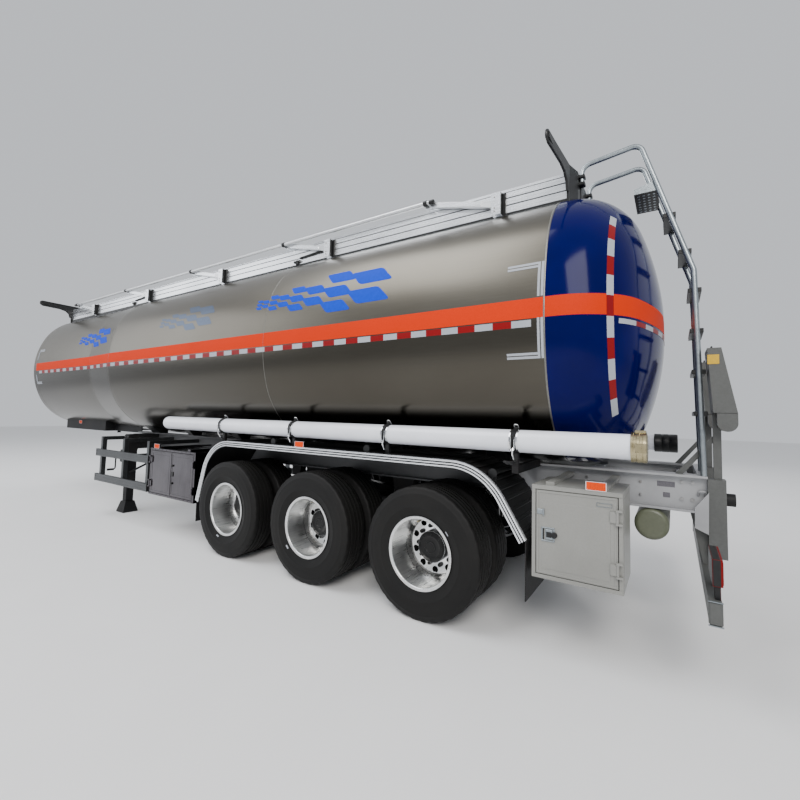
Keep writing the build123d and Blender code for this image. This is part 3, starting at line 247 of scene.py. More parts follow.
def finish(name, color, rough=0.4, metal=0.0, coat=0.0, stretch=(1, 1, 1), grain=40.0, tone=0.06,
           rough_spread=0.08, bump=0.02, stain=None, stain_scale=1.2, stain_amount=0.0, specular=0.5):
    """Noise tones over a base colour, with roughness and bump from the same grain."""
    mat = bpy.data.materials.new(name)
    mat.use_nodes = True
    tree, link = mat.node_tree, mat.node_tree.links.new
    shader = tree.nodes["Principled BSDF"]
    place = tree.nodes.new("ShaderNodeTexCoord")
    mapping = tree.nodes.new("ShaderNodeMapping")
    mapping.inputs["Scale"].default_value = stretch
    link(place.outputs["Object"], mapping.inputs["Vector"])
    fine = tree.nodes.new("ShaderNodeTexNoise")
    fine.inputs["Scale"].default_value = grain
    fine.inputs["Detail"].default_value = 4.0
    link(mapping.outputs["Vector"], fine.inputs["Vector"])
    broad = tree.nodes.new("ShaderNodeTexNoise")
    broad.inputs["Scale"].default_value = stain_scale
    broad.inputs["Detail"].default_value = 5.0
    link(place.outputs["Object"], broad.inputs["Vector"])
    ramp = tree.nodes.new("ShaderNodeValToRGB")
    ramp.color_ramp.elements[0].position = GRAIN_DARK
    ramp.color_ramp.elements[1].position = GRAIN_LIGHT
    base = np.array(color[:3], float)
    ramp.color_ramp.elements[0].color = (*np.clip(base * (1 - tone), 0, 1), 1)
    ramp.color_ramp.elements[1].color = (*np.clip(base * (1 + tone), 0, 1), 1)
    link(fine.outputs["Fac"], ramp.inputs["Fac"])
    mix = tree.nodes.new("ShaderNodeMix")
    mix.data_type = "RGBA"
    stain_ramp = tree.nodes.new("ShaderNodeMapRange")
    stain_ramp.inputs["From Min"].default_value = STAIN_NONE
    stain_ramp.inputs["From Max"].default_value = STAIN_FULL
    stain_ramp.inputs["To Max"].default_value = stain_amount
    link(broad.outputs["Fac"], stain_ramp.inputs["Value"])
    link(stain_ramp.outputs["Result"], mix.inputs["Factor"])
    link(ramp.outputs["Color"], mix.inputs["A"])
    mix.inputs["B"].default_value = (*(stain or tuple(base * STAIN_SHARE)), 1)
    link(mix.outputs["Result"], shader.inputs["Base Color"])
    gloss = tree.nodes.new("ShaderNodeMapRange")
    gloss.inputs["To Min"].default_value = max(0.02, rough - rough_spread)
    gloss.inputs["To Max"].default_value = min(1.0, rough + rough_spread)
    link(fine.outputs["Fac"], gloss.inputs["Value"])
    link(gloss.outputs["Result"], shader.inputs["Roughness"])
    shader.inputs["Metallic"].default_value = metal
    shader.inputs["Coat Weight"].default_value = coat
    shader.inputs["Coat Roughness"].default_value = COAT_ROUGHNESS
    shader.inputs["Specular IOR Level"].default_value = specular
    if bump:
        relief = tree.nodes.new("ShaderNodeBump")
        relief.inputs["Strength"].default_value = 1.0
        relief.inputs["Distance"].default_value = bump * BUMP_UNIT
        link(fine.outputs["Fac"], relief.inputs["Height"])
        link(relief.outputs["Normal"], shader.inputs["Normal"])
    return mat


# %% Finishes of the tank, its films and its tiles
tank_skin = finish("tank_skin_brushed", (0.150, 0.138, 0.114), rough=0.31, metal=1.0, stretch=(0.6, 60, 60),
                   grain=7.0, tone=0.06, rough_spread=0.06, bump=0.008, stain=(0.110, 0.096, 0.074),
                   stain_scale=0.7, stain_amount=0.4)
head_blue = finish("head_blue_gloss", (0.0002, 0.0008, 0.062), rough=0.12, grain=3.0, tone=0.12,
                   rough_spread=0.03, bump=0.0, stain=(0.0001, 0.0005, 0.032), stain_amount=0.3,
                   specular=0.10)
band_orange = finish("band_orange_film", (0.60, 0.027, 0.0001), rough=0.55, grain=160.0, tone=0.06,
                     rough_spread=0.05, bump=0.004, stain=(0.45, 0.020, 0.0003), stain_amount=0.25,
                     specular=0.06)
film_white = finish("film_white_reflex", (0.33, 0.35, 0.39), rough=0.35, grain=300.0, tone=0.05, bump=0.01,
                    stain=(0.50, 0.51, 0.53), stain_amount=0.3, specular=0.3)
film_red = finish("film_red_reflex", (0.20, 0.002, 0.004), rough=0.35, grain=300.0, tone=0.15, bump=0.01,
                  specular=0.2)
tile_blue = finish("tile_blue_film", (0.0001, 0.042, 0.52), rough=0.5, grain=30.0, tone=0.06, bump=0.002,
                   specular=0.06)
tile_pale = finish("tile_pale_film", (0.085, 0.115, 0.175), rough=0.36, metal=0.8, grain=30.0, tone=0.10,
                   bump=0.002)
print("materials, with the solid model's own", len(bpy.data.materials))

# %% Finishes of bare metal
polished = finish("polished_aluminium", (0.86, 0.87, 0.88), rough=0.14, metal=1.0, grain=25.0, tone=0.05,
                  rough_spread=0.05, bump=0.004, stain=(0.50, 0.51, 0.53), stain_amount=0.35)
coaming_bright = finish("coaming_bright_sheet", (0.90, 0.92, 0.95), rough=0.26, metal=0.85,
                        stretch=(0.5, 14, 14), grain=9.0, tone=0.06, bump=0.006, stain=(0.55, 0.57, 0.60),
                        stain_scale=2.0, stain_amount=0.4)
bright_sheet = finish("bright_sheet_aluminium", (0.72, 0.73, 0.74), rough=0.33, metal=1.0,
                      stretch=(0.5, 14, 14), grain=9.0, tone=0.07, bump=0.008, stain=(0.48, 0.48, 0.48),
                      stain_amount=0.35)
# The side guards are aluminium; this finish is dark grey as painted shade, for the shadow they stand in under
# the tank.
guard_metal_painted_shade = finish("guard_metal_in_painted_shade", (0.090, 0.094, 0.097), rough=0.34, metal=0.9,
                     stretch=(0.5, 12, 12), grain=9.0, tone=0.08, bump=0.008, stain=(0.05, 0.052, 0.054),
                     stain_scale=2.5, stain_amount=0.4)
stainless = finish("stainless_mirror_sheet", (0.120, 0.112, 0.122), rough=0.13, metal=1.0,
                   stretch=(10, 10, 0.6), grain=8.0, tone=0.10, rough_spread=0.05, bump=0.006,
                   stain=(0.045, 0.040, 0.045), stain_scale=2.2, stain_amount=0.6)
print("materials so far", len(bpy.data.materials))

# %% Finishes of the frame, the tyres and the boxes
frame_silver = finish("frame_silver_paint", (0.36, 0.365, 0.375), rough=0.42, metal=0.2, grain=14.0,
                      tone=0.05, bump=0.006, stain=(0.20, 0.20, 0.21), stain_scale=1.6, stain_amount=0.5)
zinc = finish("zinc_tube", (0.30, 0.335, 0.355), rough=0.34, metal=0.85, grain=60.0, tone=0.10, bump=0.01,
              stain=(0.16, 0.18, 0.20), stain_scale=6.0, stain_amount=0.5)
dark_paint = finish("dark_paint", (0.010, 0.0105, 0.011), rough=0.40, grain=30.0, tone=0.18, bump=0.01,
                    stain=(0.022, 0.021, 0.020), stain_amount=0.4, specular=0.3)
chassis_black = finish("chassis_black", (0.008, 0.008, 0.009), rough=0.55, grain=24.0, tone=0.2, bump=0.015,
                       stain=(0.022, 0.020, 0.018), stain_scale=2.5, stain_amount=0.5, specular=0.2)
black_sheet = finish("black_guard_sheet", (0.009, 0.0095, 0.010), rough=0.42, grain=60.0, tone=0.2,
                     bump=0.02, stain=(0.022, 0.021, 0.020), stain_scale=3.0, stain_amount=0.45,
                     specular=0.15)
tyre_rubber = finish("tyre_rubber", (0.0058, 0.0056, 0.0055), rough=0.62, grain=55.0, tone=0.16, bump=0.03,
                     stain=(0.012, 0.0112, 0.0100), stain_scale=2.6, stain_amount=0.5, specular=0.22)
flap_rubber = finish("flap_rubber", (0.008, 0.008, 0.0085), rough=0.6, grain=90.0, tone=0.2, bump=0.04,
                     stain=(0.018, 0.017, 0.016), stain_amount=0.4, specular=0.25)
white_tube = finish("white_tube_plastic", (0.80, 0.82, 0.88), rough=0.24, coat=0.3, grain=8.0, tone=0.03,
                    bump=0.0, stain=(0.62, 0.64, 0.70), stain_amount=0.25)
box_grey = finish("box_grey_paint", (0.232, 0.232, 0.216), rough=0.40, grain=90.0, tone=0.04, bump=0.012,
                  stain=(0.17, 0.168, 0.155), stain_scale=2.2, stain_amount=0.45)
mid_grey = finish("mid_grey_paint", (0.085, 0.088, 0.085), rough=0.45, grain=60.0, tone=0.08, bump=0.01,
                  stain=(0.055, 0.055, 0.052), stain_scale=3.0, stain_amount=0.5, specular=0.35)
reservoir_paint = finish("reservoir_green_grey", (0.105, 0.115, 0.075), rough=0.38, grain=40.0, tone=0.08,
                         bump=0.01, stain=(0.06, 0.06, 0.045), stain_scale=3.0, stain_amount=0.4)
print("materials so far", len(bpy.data.materials))

# %% Finishes of lenses, wheels and small parts
amber_lens = finish("amber_lens", (0.70, 0.055, 0.0002), rough=0.30, grain=200.0, tone=0.10, bump=0.04,
                    specular=0.15)
red_lens = finish("red_lens", (0.16, 0.002, 0.002), rough=0.3, grain=200.0, tone=0.15, bump=0.04,
                  specular=0.15)
brass_plate = finish("brass_yellow_zinc", (0.50, 0.44, 0.27), rough=0.28, metal=1.0, grain=30.0, tone=0.12,
                     bump=0.01, stain=(0.28, 0.22, 0.12), stain_scale=9.0, stain_amount=0.5)
rim_metal = finish("rim_spun_aluminium", (0.78, 0.785, 0.78), rough=0.30, metal=1.0, stretch=(22, 0.7, 22),
                   grain=5.0, tone=0.13, rough_spread=0.10, bump=0.006, stain=(0.34, 0.34, 0.33),
                   stain_scale=5.0, stain_amount=0.4)
# A near-black for painted shade: it fills the rims' hand holes and the grooves of the mudguard mouldings,
# where shade falls.
painted_shade_black = finish("painted_shade_black", (0.0015, 0.0015, 0.0015), rough=0.8, grain=30.0, tone=0.2, bump=0.0,
                    specular=0.05)
hub_black = finish("hub_cap_black", (0.0035, 0.0035, 0.0035), rough=0.32, grain=40.0, tone=0.2, bump=0.01,
                   specular=0.3)
weld_grey = finish("weld_grey", (0.20, 0.195, 0.18), rough=0.42, metal=1.0, grain=120.0, tone=0.2,
                   bump=0.02)
tag_grey = finish("tag_grey", (0.12, 0.115, 0.13), rough=0.45, metal=0.3, grain=220.0, tone=0.35, bump=0.01)
label_yellow = finish("label_yellow", (0.55, 0.33, 0.001), rough=0.45, grain=80.0, tone=0.08, bump=0.004,
                      stain=(0.45, 0.32, 0.02), stain_amount=0.3)
steel = finish("bare_steel", (0.36, 0.36, 0.36), rough=0.36, metal=1.0, grain=50.0, tone=0.12, bump=0.012,
               stain=(0.16, 0.15, 0.13), stain_scale=8.0, stain_amount=0.5)
print("materials so far", len(bpy.data.materials))


# %% A darker belly for the tank and a darker frame ahead of its rear end
# The real skin mirrors dark ground under it, and the frame stands in the tank's shade. Pale,
# soft light loses both, so these two finishes carry some of that tone at fixed places.
BELLY_SHARE, FRAME_SHARE = 0.52, 0.30


def shaded_along(mat, axis, start, end, before, after, rough_drop=0.0):
    """Multiplies a colour along an axis, from one share to another, and smooths the darker part."""
    tree, link = mat.node_tree, mat.node_tree.links.new
    shader = tree.nodes["Principled BSDF"]
    split = tree.nodes.new("ShaderNodeSeparateXYZ")
    link(tree.nodes["Texture Coordinate"].outputs["Object"], split.inputs["Vector"])
    fade = tree.nodes.new("ShaderNodeMapRange")
    fade.interpolation_type = "SMOOTHSTEP"
    for key, value in (("From Min", start), ("From Max", end), ("To Min", before), ("To Max", after)):
        fade.inputs[key].default_value = value
    link(split.outputs[axis], fade.inputs["Value"])
    darker = tree.nodes.new("ShaderNodeMix")
    darker.data_type, darker.blend_type = "RGBA", "MULTIPLY"
    darker.inputs["Factor"].default_value = 1.0
    link(shader.inputs["Base Color"].links[0].from_socket, darker.inputs["A"])
    link(fade.outputs["Result"], darker.inputs["B"])
    link(darker.outputs["Result"], shader.inputs["Base Color"])
    smoother = tree.nodes.new("ShaderNodeMath")
    smoother.operation, smoother.use_clamp = "SUBTRACT", True
    drop = tree.nodes.new("ShaderNodeMapRange")
    for key, value in (("From Min", min(before, after)), ("From Max", 1.0),
                       ("To Min", rough_drop), ("To Max", 0.0)):
        drop.inputs[key].default_value = value
    link(fade.outputs["Result"], drop.inputs["Value"])
    link(shader.inputs["Roughness"].links[0].from_socket, smoother.inputs[0])
    link(drop.outputs["Result"], smoother.inputs[1])
    link(smoother.outputs["Value"], shader.inputs["Roughness"])


shaded_along(tank_skin, "Z", 2.36, 2.46, BELLY_SHARE, 1.0, rough_drop=0.10)
shaded_along(frame_silver, "X", -4.45, -4.25, 1.0, FRAME_SHARE)

slot_finish = {"mill_aluminium": tank_skin, "blue_paint": head_blue, "dark_steel": chassis_black,
               "plate_aluminium": bright_sheet, "galvanised": zinc, "frame_silver": frame_silver,
               "tyre_rubber": tyre_rubber, "flap_rubber": flap_rubber, "wheel_aluminium": polished,
               "white_tube": white_tube, "box_paint": box_grey, "grey_paint": mid_grey,
               "amber": amber_lens, "red_lens": red_lens, "stainless": stainless}
# The walkway's end plates are grey aluminium with dark tips; their near-black finish is partly those tips and
# partly painted shade on their faces.
node_finish = {"mudguard_left": black_sheet, "mudguard_right": black_sheet, "walkway": coaming_bright,
               "side_guard_left": guard_metal_painted_shade, "side_guard_right": guard_metal_painted_shade,
               "air_reservoir": reservoir_paint, "tank_saddles": dark_paint, "walkway_end_plates": dark_paint}
slot_of = {row["node"]: row["material_slot"] for row in frame["record"]["subparts"]}
for node, thing in nodes.items():
    for place in thing.material_slots:
        place.material = node_finish.get(node, slot_finish[slot_of[node]])
print("nodes with a finish", len(nodes), "in all materials", len(bpy.data.materials))

# %% [markdown]
# ## The tank's skin
# A road tank is rolled from a few sheets of aluminium: a flat-sided oval that a cone narrows
# towards the front, and a dished end welded on. The solid model's ends are flat rings, and
# its sides show in facets. Here the same oval is worked out as eight tangent arcs, and the
# skin is that outline carried through the stations along the tank, so it is smooth. The weld
# seams are low hoops of their own.

# %% The oval as a function of its angle
TANK_TOP = 3.650
REAR_SEAM, CONE_REAR, CONE_FRONT, FRONT_SEAM = -4.747, 2.195, 3.045, 5.575
REAR_OVAL, FRONT_OVAL = (1.210, 1.260, 1.700, 0.950), (1.150, 1.285, 1.480, 0.900)


def oval(half_width, bottom, side_radius, corner_radius, count=40):
    """Four corner arcs and four flat arcs, all tangent, run once round from the left side up."""
    half_height = (TANK_TOP - bottom) / 2
    side_c, top_c, reach = half_width - side_radius, half_height - side_radius, side_radius - corner_radius
    span = np.hypot(side_c, top_c)
    off = np.sqrt(reach ** 2 - (span / 2) ** 2)
    u, v = side_c / 2 - off * top_c / span, top_c / 2 - off * side_c / span
    low, high = np.arctan2(v, u - side_c), np.arctan2(v - top_c, u)
    t = np.linspace(0, 1, count, endpoint=False)
    side = np.stack([side_c + side_radius * np.cos(low * t), side_radius * np.sin(low * t)], -1)
    corner = low + (high - low) * t
    corner = np.stack([u + corner_radius * np.cos(corner), v + corner_radius * np.sin(corner)], -1)
    top = high + (np.pi / 2 - high) * t
    top = np.stack([side_radius * np.cos(top), top_c + side_radius * np.sin(top)], -1)
    quarter = np.concatenate([side, corner, top])
    crown = np.array([[0.0, half_height]])
    upper = np.concatenate([quarter, crown, (quarter * [-1, 1])[:0:-1]])
    whole = np.concatenate([upper, np.array([[-half_width, 0.0]]), (upper * [1, -1])[:0:-1]])
    return whole + [0, (TANK_TOP + bottom) / 2]


rear_outline, front_outline = oval(*REAR_OVAL), oval(*FRONT_OVAL)
print("oval, width and height: rear", np.ptp(rear_outline, axis=0), "front", np.ptp(front_outline, axis=0))


def outline_at(x):
    """The tank's outline at a station: the rear oval, the front oval or the cone between them."""
    share = np.clip((x - CONE_REAR) / (CONE_FRONT - CONE_REAR), 0, 1)
    return (1 - share) * rear_outline + share * front_outline


def side_reach(x, z):
    """Half width of the tank at a station and a height."""
    half = outline_at(x)
    half = half[(half[:, 0] > -1e-6)]
    order = np.argsort(half[:, 1])
    return np.interp(z, half[order, 1], half[order, 0])


# %% Dished ends
def end_profile(half_width, depth, dish, knuckle, rings=18):
    """How far each ring of a dished end stands out and its share of the oval: skirt, knuckle, dish."""
    blend = np.arcsin((half_width - knuckle) / (dish - knuckle))
    centre = depth - dish * np.cos(blend / 5)
    skirt = centre + np.sqrt((dish - knuckle) ** 2 - (half_width - knuckle) ** 2)
    a = np.linspace(np.pi / 2, blend, rings)
    b = np.linspace(blend, 0.002, rings)[1:]
    reach = np.concatenate([[0.0], skirt + knuckle * np.cos(a), np.minimum(centre + dish * np.cos(b), depth)])
    radius = np.concatenate([[half_width], half_width - knuckle + knuckle * np.sin(a), dish * np.sin(b)])
    return reach, radius / half_width


def dished_end(outline, seam, direction, profile):
    """Every ring of the end is the oval shrunk about its middle and moved out."""
    reach, share = profile
    middle = np.array([0, (outline[:, 1].max() + outline[:, 1].min()) / 2])
    flat = middle + share[:, None, None] * (outline - middle)[None]
    x = np.broadcast_to((seam + direction * reach)[:, None, None], flat.shape[:2] + (1,))
    return np.concatenate([x, flat], -1)


REAR_PROFILE = end_profile(REAR_OVAL[0], 0.722, 2.420, 0.567)
FRONT_PROFILE = end_profile(FRONT_OVAL[0], 0.340, 5.000, 0.120)
print("dished ends stand out by: rear", REAR_PROFILE[0].max(), "front", FRONT_PROFILE[0].max())

# %% Barrel skin with its rolled sheets
stations = np.concatenate([np.linspace(REAR_SEAM, CONE_REAR, 90), np.linspace(CONE_REAR, CONE_FRONT, 14)[1:],
                           np.linspace(CONE_FRONT, FRONT_SEAM, 34)[1:]])
barrel = np.array([np.column_stack([np.full(len(rear_outline), x), outline_at(x)]) for x in stations])
front_end = dished_end(front_outline, FRONT_SEAM, 1, FRONT_PROFILE)[1:]
barrel = np.concatenate([barrel, front_end])
rows, columns = barrel.shape[:2]
skin_faces = grid_faces(rows, columns, wrap_columns=True).tolist()
skin_faces.append([(rows - 1) * columns + k for k in range(columns)][::-1])
skin = add_mesh("tank_skin", barrel.reshape(-1, 3), skin_faces, tank_skin, "trailer")
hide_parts("tank_barrel")

end_grid = dished_end(rear_outline, REAR_SEAM, -1, REAR_PROFILE)
rows, columns = end_grid.shape[:2]
end_faces = grid_faces(rows, columns, wrap_columns=True)[:, ::-1].tolist()
end_faces.append([(rows - 1) * columns + k for k in range(columns)])
end_skin = add_mesh("tank_end_skin", end_grid.reshape(-1, 3), end_faces, head_blue, "trailer")
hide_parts("tank_rear_head")
for piece in (skin, end_skin):
    facing_out(piece)


# %% Weld seams round the tank
def hoop(x, width, height):
    """A low band round the tank at a station, its section a shallow arch."""
    outline = outline_at(x)
    nxt = np.roll(outline, -1, 0) - np.roll(outline, 1, 0)
    normal = np.stack([nxt[:, 1], -nxt[:, 0]], -1)
    normal /= np.linalg.norm(normal, axis=1, keepdims=True)
    section = np.array([[-width / 2, -0.002], [-width / 4, height * 0.8], [0, height],
                        [width / 4, height * 0.8], [width / 2, -0.002]])
    points = np.stack([np.broadcast_to((x + section[:, 0])[:, None], (5, len(outline))),
                       outline[:, 0] + section[:, 1:] * normal[:, 0],
                       outline[:, 1] + section[:, 1:] * normal[:, 1]], -1)
    return points.reshape(-1, 3), grid_faces(5, len(outline), wrap_columns=True)


SHEET_SEAM_X = (-1.62, CONE_REAR, CONE_FRONT, FRONT_SEAM - 0.02)
hoops = [hoop(x, width=0.010, height=0.0014) for x in SHEET_SEAM_X]
hoops.append(hoop(REAR_SEAM + 0.006, width=0.018, height=0.004))
facing_out(sheet_piece("weld_seams", hoops, weld_grey))


# %% [markdown]
# ## Bands, tape and markings
# The orange band and the reflective tape are film stuck to the skin. A pattern in the
# skin's material could draw them, but film has an edge and lies on top, so each is a thin
# sheet that follows the oval a millimetre out. The markings are plain tiles and corners.

# %% Film that follows the skin
FILM = 0.0012
END_TAPE_LIFT, MARK_LIFT = 1.5 * FILM, 1.6 * FILM
FILM_ROWS, FILM_STEP = 6, 0.08


def film_patch(x0, x1, z0, z1, side, lift=FILM, columns=None):
    """A patch of skin between two stations and two heights, lifted off by a film's thickness."""
    columns = columns or max(2, int(abs(x1 - x0) / FILM_STEP) + 2)
    x, z = np.linspace(x0, x1, columns), np.linspace(z0, z1, FILM_ROWS)
    grid_x, grid_z = np.meshgrid(x, z, indexing="ij")
    y = np.stack([side_reach(v, z) for v in x]) + lift
    points = np.stack([grid_x, side * y, grid_z], -1).reshape(-1, 3)
    return points, grid_faces(columns, FILM_ROWS)[:, ::-side]


BAND_LOW, BAND_HIGH = 2.400, 2.550
TAPE_LOW, TAPE_HIGH = 2.338, 2.390
band = [film_patch(REAR_SEAM, FRONT_SEAM, BAND_LOW, BAND_HIGH, side, columns=160) for side in SIDES]
sheet_piece("side_bands", band, band_orange)

TAPE_STEP = 0.150
tape_x = np.arange(REAR_SEAM + 0.10, FRONT_SEAM - 0.2, TAPE_STEP)
for name, first, film in (("side_tape_white", 0, film_white), ("side_tape_red", 1, film_red)):
    sheet_piece(name, [film_patch(x, x + TAPE_STEP, TAPE_LOW, TAPE_HIGH, side, columns=3)
                       for side in SIDES for x in tape_x[first::2]], film)

# %% White corner marks at the tank's ends
MARK, STRIPE = 0.044, 0.018
REAR_MARK, FRONT_MARK = REAR_SEAM + 0.012, FRONT_SEAM - 0.056
REAR_ARM, FRONT_ARM = 0.28, -0.22
corner_marks = []
for side in SIDES:
    for x0, low, high, foot, arm in ((REAR_MARK, 2.56, 2.83, False, REAR_ARM),
                                     (REAR_MARK, 2.105, 2.40, True, REAR_ARM),
                                     (FRONT_MARK, 2.62, 2.83, False, FRONT_ARM),
                                     (FRONT_MARK, 2.13, 2.32, True, FRONT_ARM)):
        bar_z = low if foot else high - MARK
        ends = sorted((x0 + (MARK if arm > 0 else 0.0), x0 + arm))
        for k in (0.0, MARK - STRIPE):
            corner_marks += [film_patch(x0 + k, x0 + k + STRIPE, low, high, side, MARK_LIFT),
                             film_patch(*ends, bar_z + k, bar_z + k + STRIPE, side, MARK_LIFT)]
sheet_piece("corner_marks", corner_marks, film_white)


# %% Film on the dished end
END_MIDDLE = (REAR_OVAL[1] + TANK_TOP) / 2
polar = rear_outline - [0, END_MIDDLE]
polar_angle = np.arctan2(polar[:, 1], polar[:, 0])
polar_order = np.argsort(polar_angle)
polar_angle = polar_angle[polar_order]
polar_radius = np.hypot(polar[:, 0], polar[:, 1])[polar_order]


def end_x(y, z):
    """Station of the dished end's surface at a place across it: the ring whose oval runs there."""
    v = z - END_MIDDLE
    edge = np.interp(np.arctan2(v, y), polar_angle, polar_radius, period=2 * np.pi)
    share = np.clip(np.hypot(y, v) / edge, 0, 1)
    reach, shares = REAR_PROFILE
    return REAR_SEAM - np.interp(-share, -shares[1:], reach[1:])


def on_end(y, z, lift):
    """Points on the dished end, moved out along the surface's own direction by a lift."""
    step = 0.004
    slope_y = (end_x(y + step, z) - end_x(y - step, z)) / (2 * step)
    slope_z = (end_x(y, z + step) - end_x(y, z - step)) / (2 * step)
    normal = np.stack([-np.ones_like(slope_y), slope_y, slope_z], -1)
    normal /= np.linalg.norm(normal, axis=-1, keepdims=True)
    return np.stack([end_x(y, z), y, z], -1) + lift * normal


def end_level_film(z0, z1, steps=110):
    """A level band: along the straight skirt, round the knuckle and over the dish, side to side."""
    z = np.linspace(z0, z1, FILM_ROWS)
    edge = side_reach(REAR_SEAM, z)
    turn = np.linspace(0.05, np.pi - 0.05, steps)[:, None]
    dome = on_end(edge[None] * np.cos(turn), np.broadcast_to(z, (steps, FILM_ROWS)), FILM)
    skirt_x = np.linspace(REAR_SEAM, REAR_SEAM - REAR_PROFILE[0][1], 5)[:, None] + 0 * z
    skirt = [np.stack([skirt_x, s * (edge + FILM) + 0 * skirt_x, z + 0 * skirt_x], -1) for s in SIDES]
    points = np.concatenate([skirt[0], dome, skirt[1][::-1]])
    return points.reshape(-1, 3), grid_faces(len(points), FILM_ROWS)


def end_path_film(path, width):
    """A strip of tape laid along a path of (y, z) places on the dished end."""
    path = np.asarray(path, float)
    along = np.gradient(path, axis=0)
    along /= np.linalg.norm(along, axis=1, keepdims=True)
    across = np.stack([-along[:, 1], along[:, 0]], -1)
    u = np.linspace(-width / 2, width / 2, 4)
    place = path[:, None] + u[None, :, None] * across[:, None]
    points = on_end(place[..., 0], place[..., 1], END_TAPE_LIFT)
    return points.reshape(-1, 3), grid_faces(len(path), 4)[:, ::-1]


sheet_piece("end_band", [end_level_film(BAND_LOW, BAND_HIGH)], band_orange)


# %% Contour tape round the end
PATH_STEP = 0.01


def along_path(corners):
    """Evenly spaced places along a line of (y, z) corners."""
    corners = np.asarray(corners, float)
    length = np.concatenate([[0], np.cumsum(np.linalg.norm(np.diff(corners, axis=0), axis=1))])
    at = np.arange(0, length[-1], PATH_STEP)
    return np.stack([np.interp(at, length, corners[:, k]) for k in range(2)], -1)


END_TAPE_WIDTH, CONTOUR_SHARE = 0.036, 0.885
contour = np.array([0, END_MIDDLE]) + CONTOUR_SHARE * (rear_outline - [0, END_MIDDLE])
left_half = contour[(contour[:, 0] > 0.82)]
left_half = left_half[np.argsort(left_half[:, 1])]
level_end, level_z = left_half[:, 0].max() - 0.05, TAPE_LOW + 0.026
tape_lines = [along_path(left_half), along_path(left_half * [-1, 1]),
              along_path([(level_end, level_z), (-level_end, level_z)])]
count = int(TAPE_STEP / PATH_STEP)
for name, first, film in (("end_tape_white", 0, film_white), ("end_tape_red", 1, film_red)):
    strips = [end_path_film(line[k:k + count + 1], END_TAPE_WIDTH) for line in tape_lines
              for k in range(first * count, len(line) - 3, 2 * count)]
    sheet_piece(name, strips, film)

# %% [markdown]
# ## Wheels
# Each axle end carries two tyres on two rims, disc against disc, so the outer rim is a deep
# bowl. A tyre is a turned shape: the section runs from bead to bead over the sidewall
# and the tread. The grooves are part of that section, and the shoulder's cuts are rows of
# the grid pulled in at every few steps round.

# %% Tyre skins
AXLE_X, AXLE_Z = (-3.735, -2.425, -1.115), 0.540
WHEELS = [(f"{n}_{label}", x, side) for n, x in enumerate(AXLE_X, 1)
          for label, side in (("left", 1), ("right", -1))]
TYRE_MIDDLES = (1.100, 0.750)
DISC_FACE = 0.925
SHOULDER_ROWS, SHOULDER_CUT, EDGE_CUT = (14, 15, 16, 17, 18), 0.0030, 0.0012


def tyre_section():
    """Half a tyre's section as (radius, offset) rows from the bead to the tread's middle."""
    return np.array([(0.2975, 0.104), (0.300, 0.118), (0.312, 0.127), (0.318, 0.1275), (0.340, 0.139),
                     (0.372, 0.1465), (0.376, 0.1485), (0.380, 0.1475), (0.415, 0.1500), (0.450, 0.1490),
                     (0.478, 0.1440), (0.482, 0.1445), (0.486, 0.1420), (0.506, 0.1350), (0.518, 0.1310),
                     (0.5245, 0.1285), (0.5350, 0.1215), (0.5385, 0.1120), (0.5390, 0.0800),
                     (0.5270, 0.0770), (0.5270, 0.0660), (0.5395, 0.0630), (0.5398, 0.0330),
                     (0.5275, 0.0300), (0.5275, 0.0190), (0.5400, 0.0160)])


def tyre_skin(x, middle, side, sides=180):
    """The section and its mirror turned round the axle, with cuts along both shoulders."""
    half = tyre_section()
    whole = np.concatenate([half, (half * [1, -1])[::-1]])
    angle = np.linspace(0, 2 * np.pi, sides, endpoint=False)
    radius = np.repeat(whole[:, :1], sides, 1)
    cut = np.arange(sides) % 5 < 2
    for row in SHOULDER_ROWS:
        depth = EDGE_CUT if row == SHOULDER_ROWS[0] else SHOULDER_CUT
        for r in (row, len(whole) - 1 - row):
            radius[r] -= np.where(cut, depth, 0.0)
    y = side * middle + whole[:, 1:] + 0 * angle
    points = np.stack([radius * np.sin(angle) + x, y, radius * np.cos(angle) + AXLE_Z], -1).reshape(-1, 3)
    return points, grid_faces(len(whole), sides, wrap_rows=True, wrap_columns=True)


for wheel, x, side in WHEELS:
    skins = [tyre_skin(x, middle, side) for middle in TYRE_MIDDLES]
    piece = solid_piece(f"tyre_skins_{wheel}", skins, tyre_rubber, f"wheel_{wheel}", 40, slot="tyre_rubber")
    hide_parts(f"tyres_{wheel}")

# %% Hub caps and wheel nuts
NUT_CIRCLE, CAP_BOLT_CIRCLE = 0.1675, 0.108


def round_axle(x, y, radius, count, turn=0.0):
    """Evenly spaced places on a circle about an axle, turned by a share of a step."""
    angle = 2 * np.pi * (np.arange(count) + turn) / count
    return np.stack([x + radius * np.cos(angle), y + 0 * angle, AXLE_Z + radius * np.sin(angle)], -1)


def wheel_nut(radius, height, centre, side):
    """A nut under a round cover: a flange, a narrower wall and a crown, standing along the axle."""
    rows = [(radius, 0.0), (radius, height * 0.35), (radius * 0.86, height * 0.42),
            (radius * 0.86, height * 0.85), (radius * 0.6, height), (POLE, height)]
    return turned([(r, side * h) for r, h in rows], centre, "y", 18)


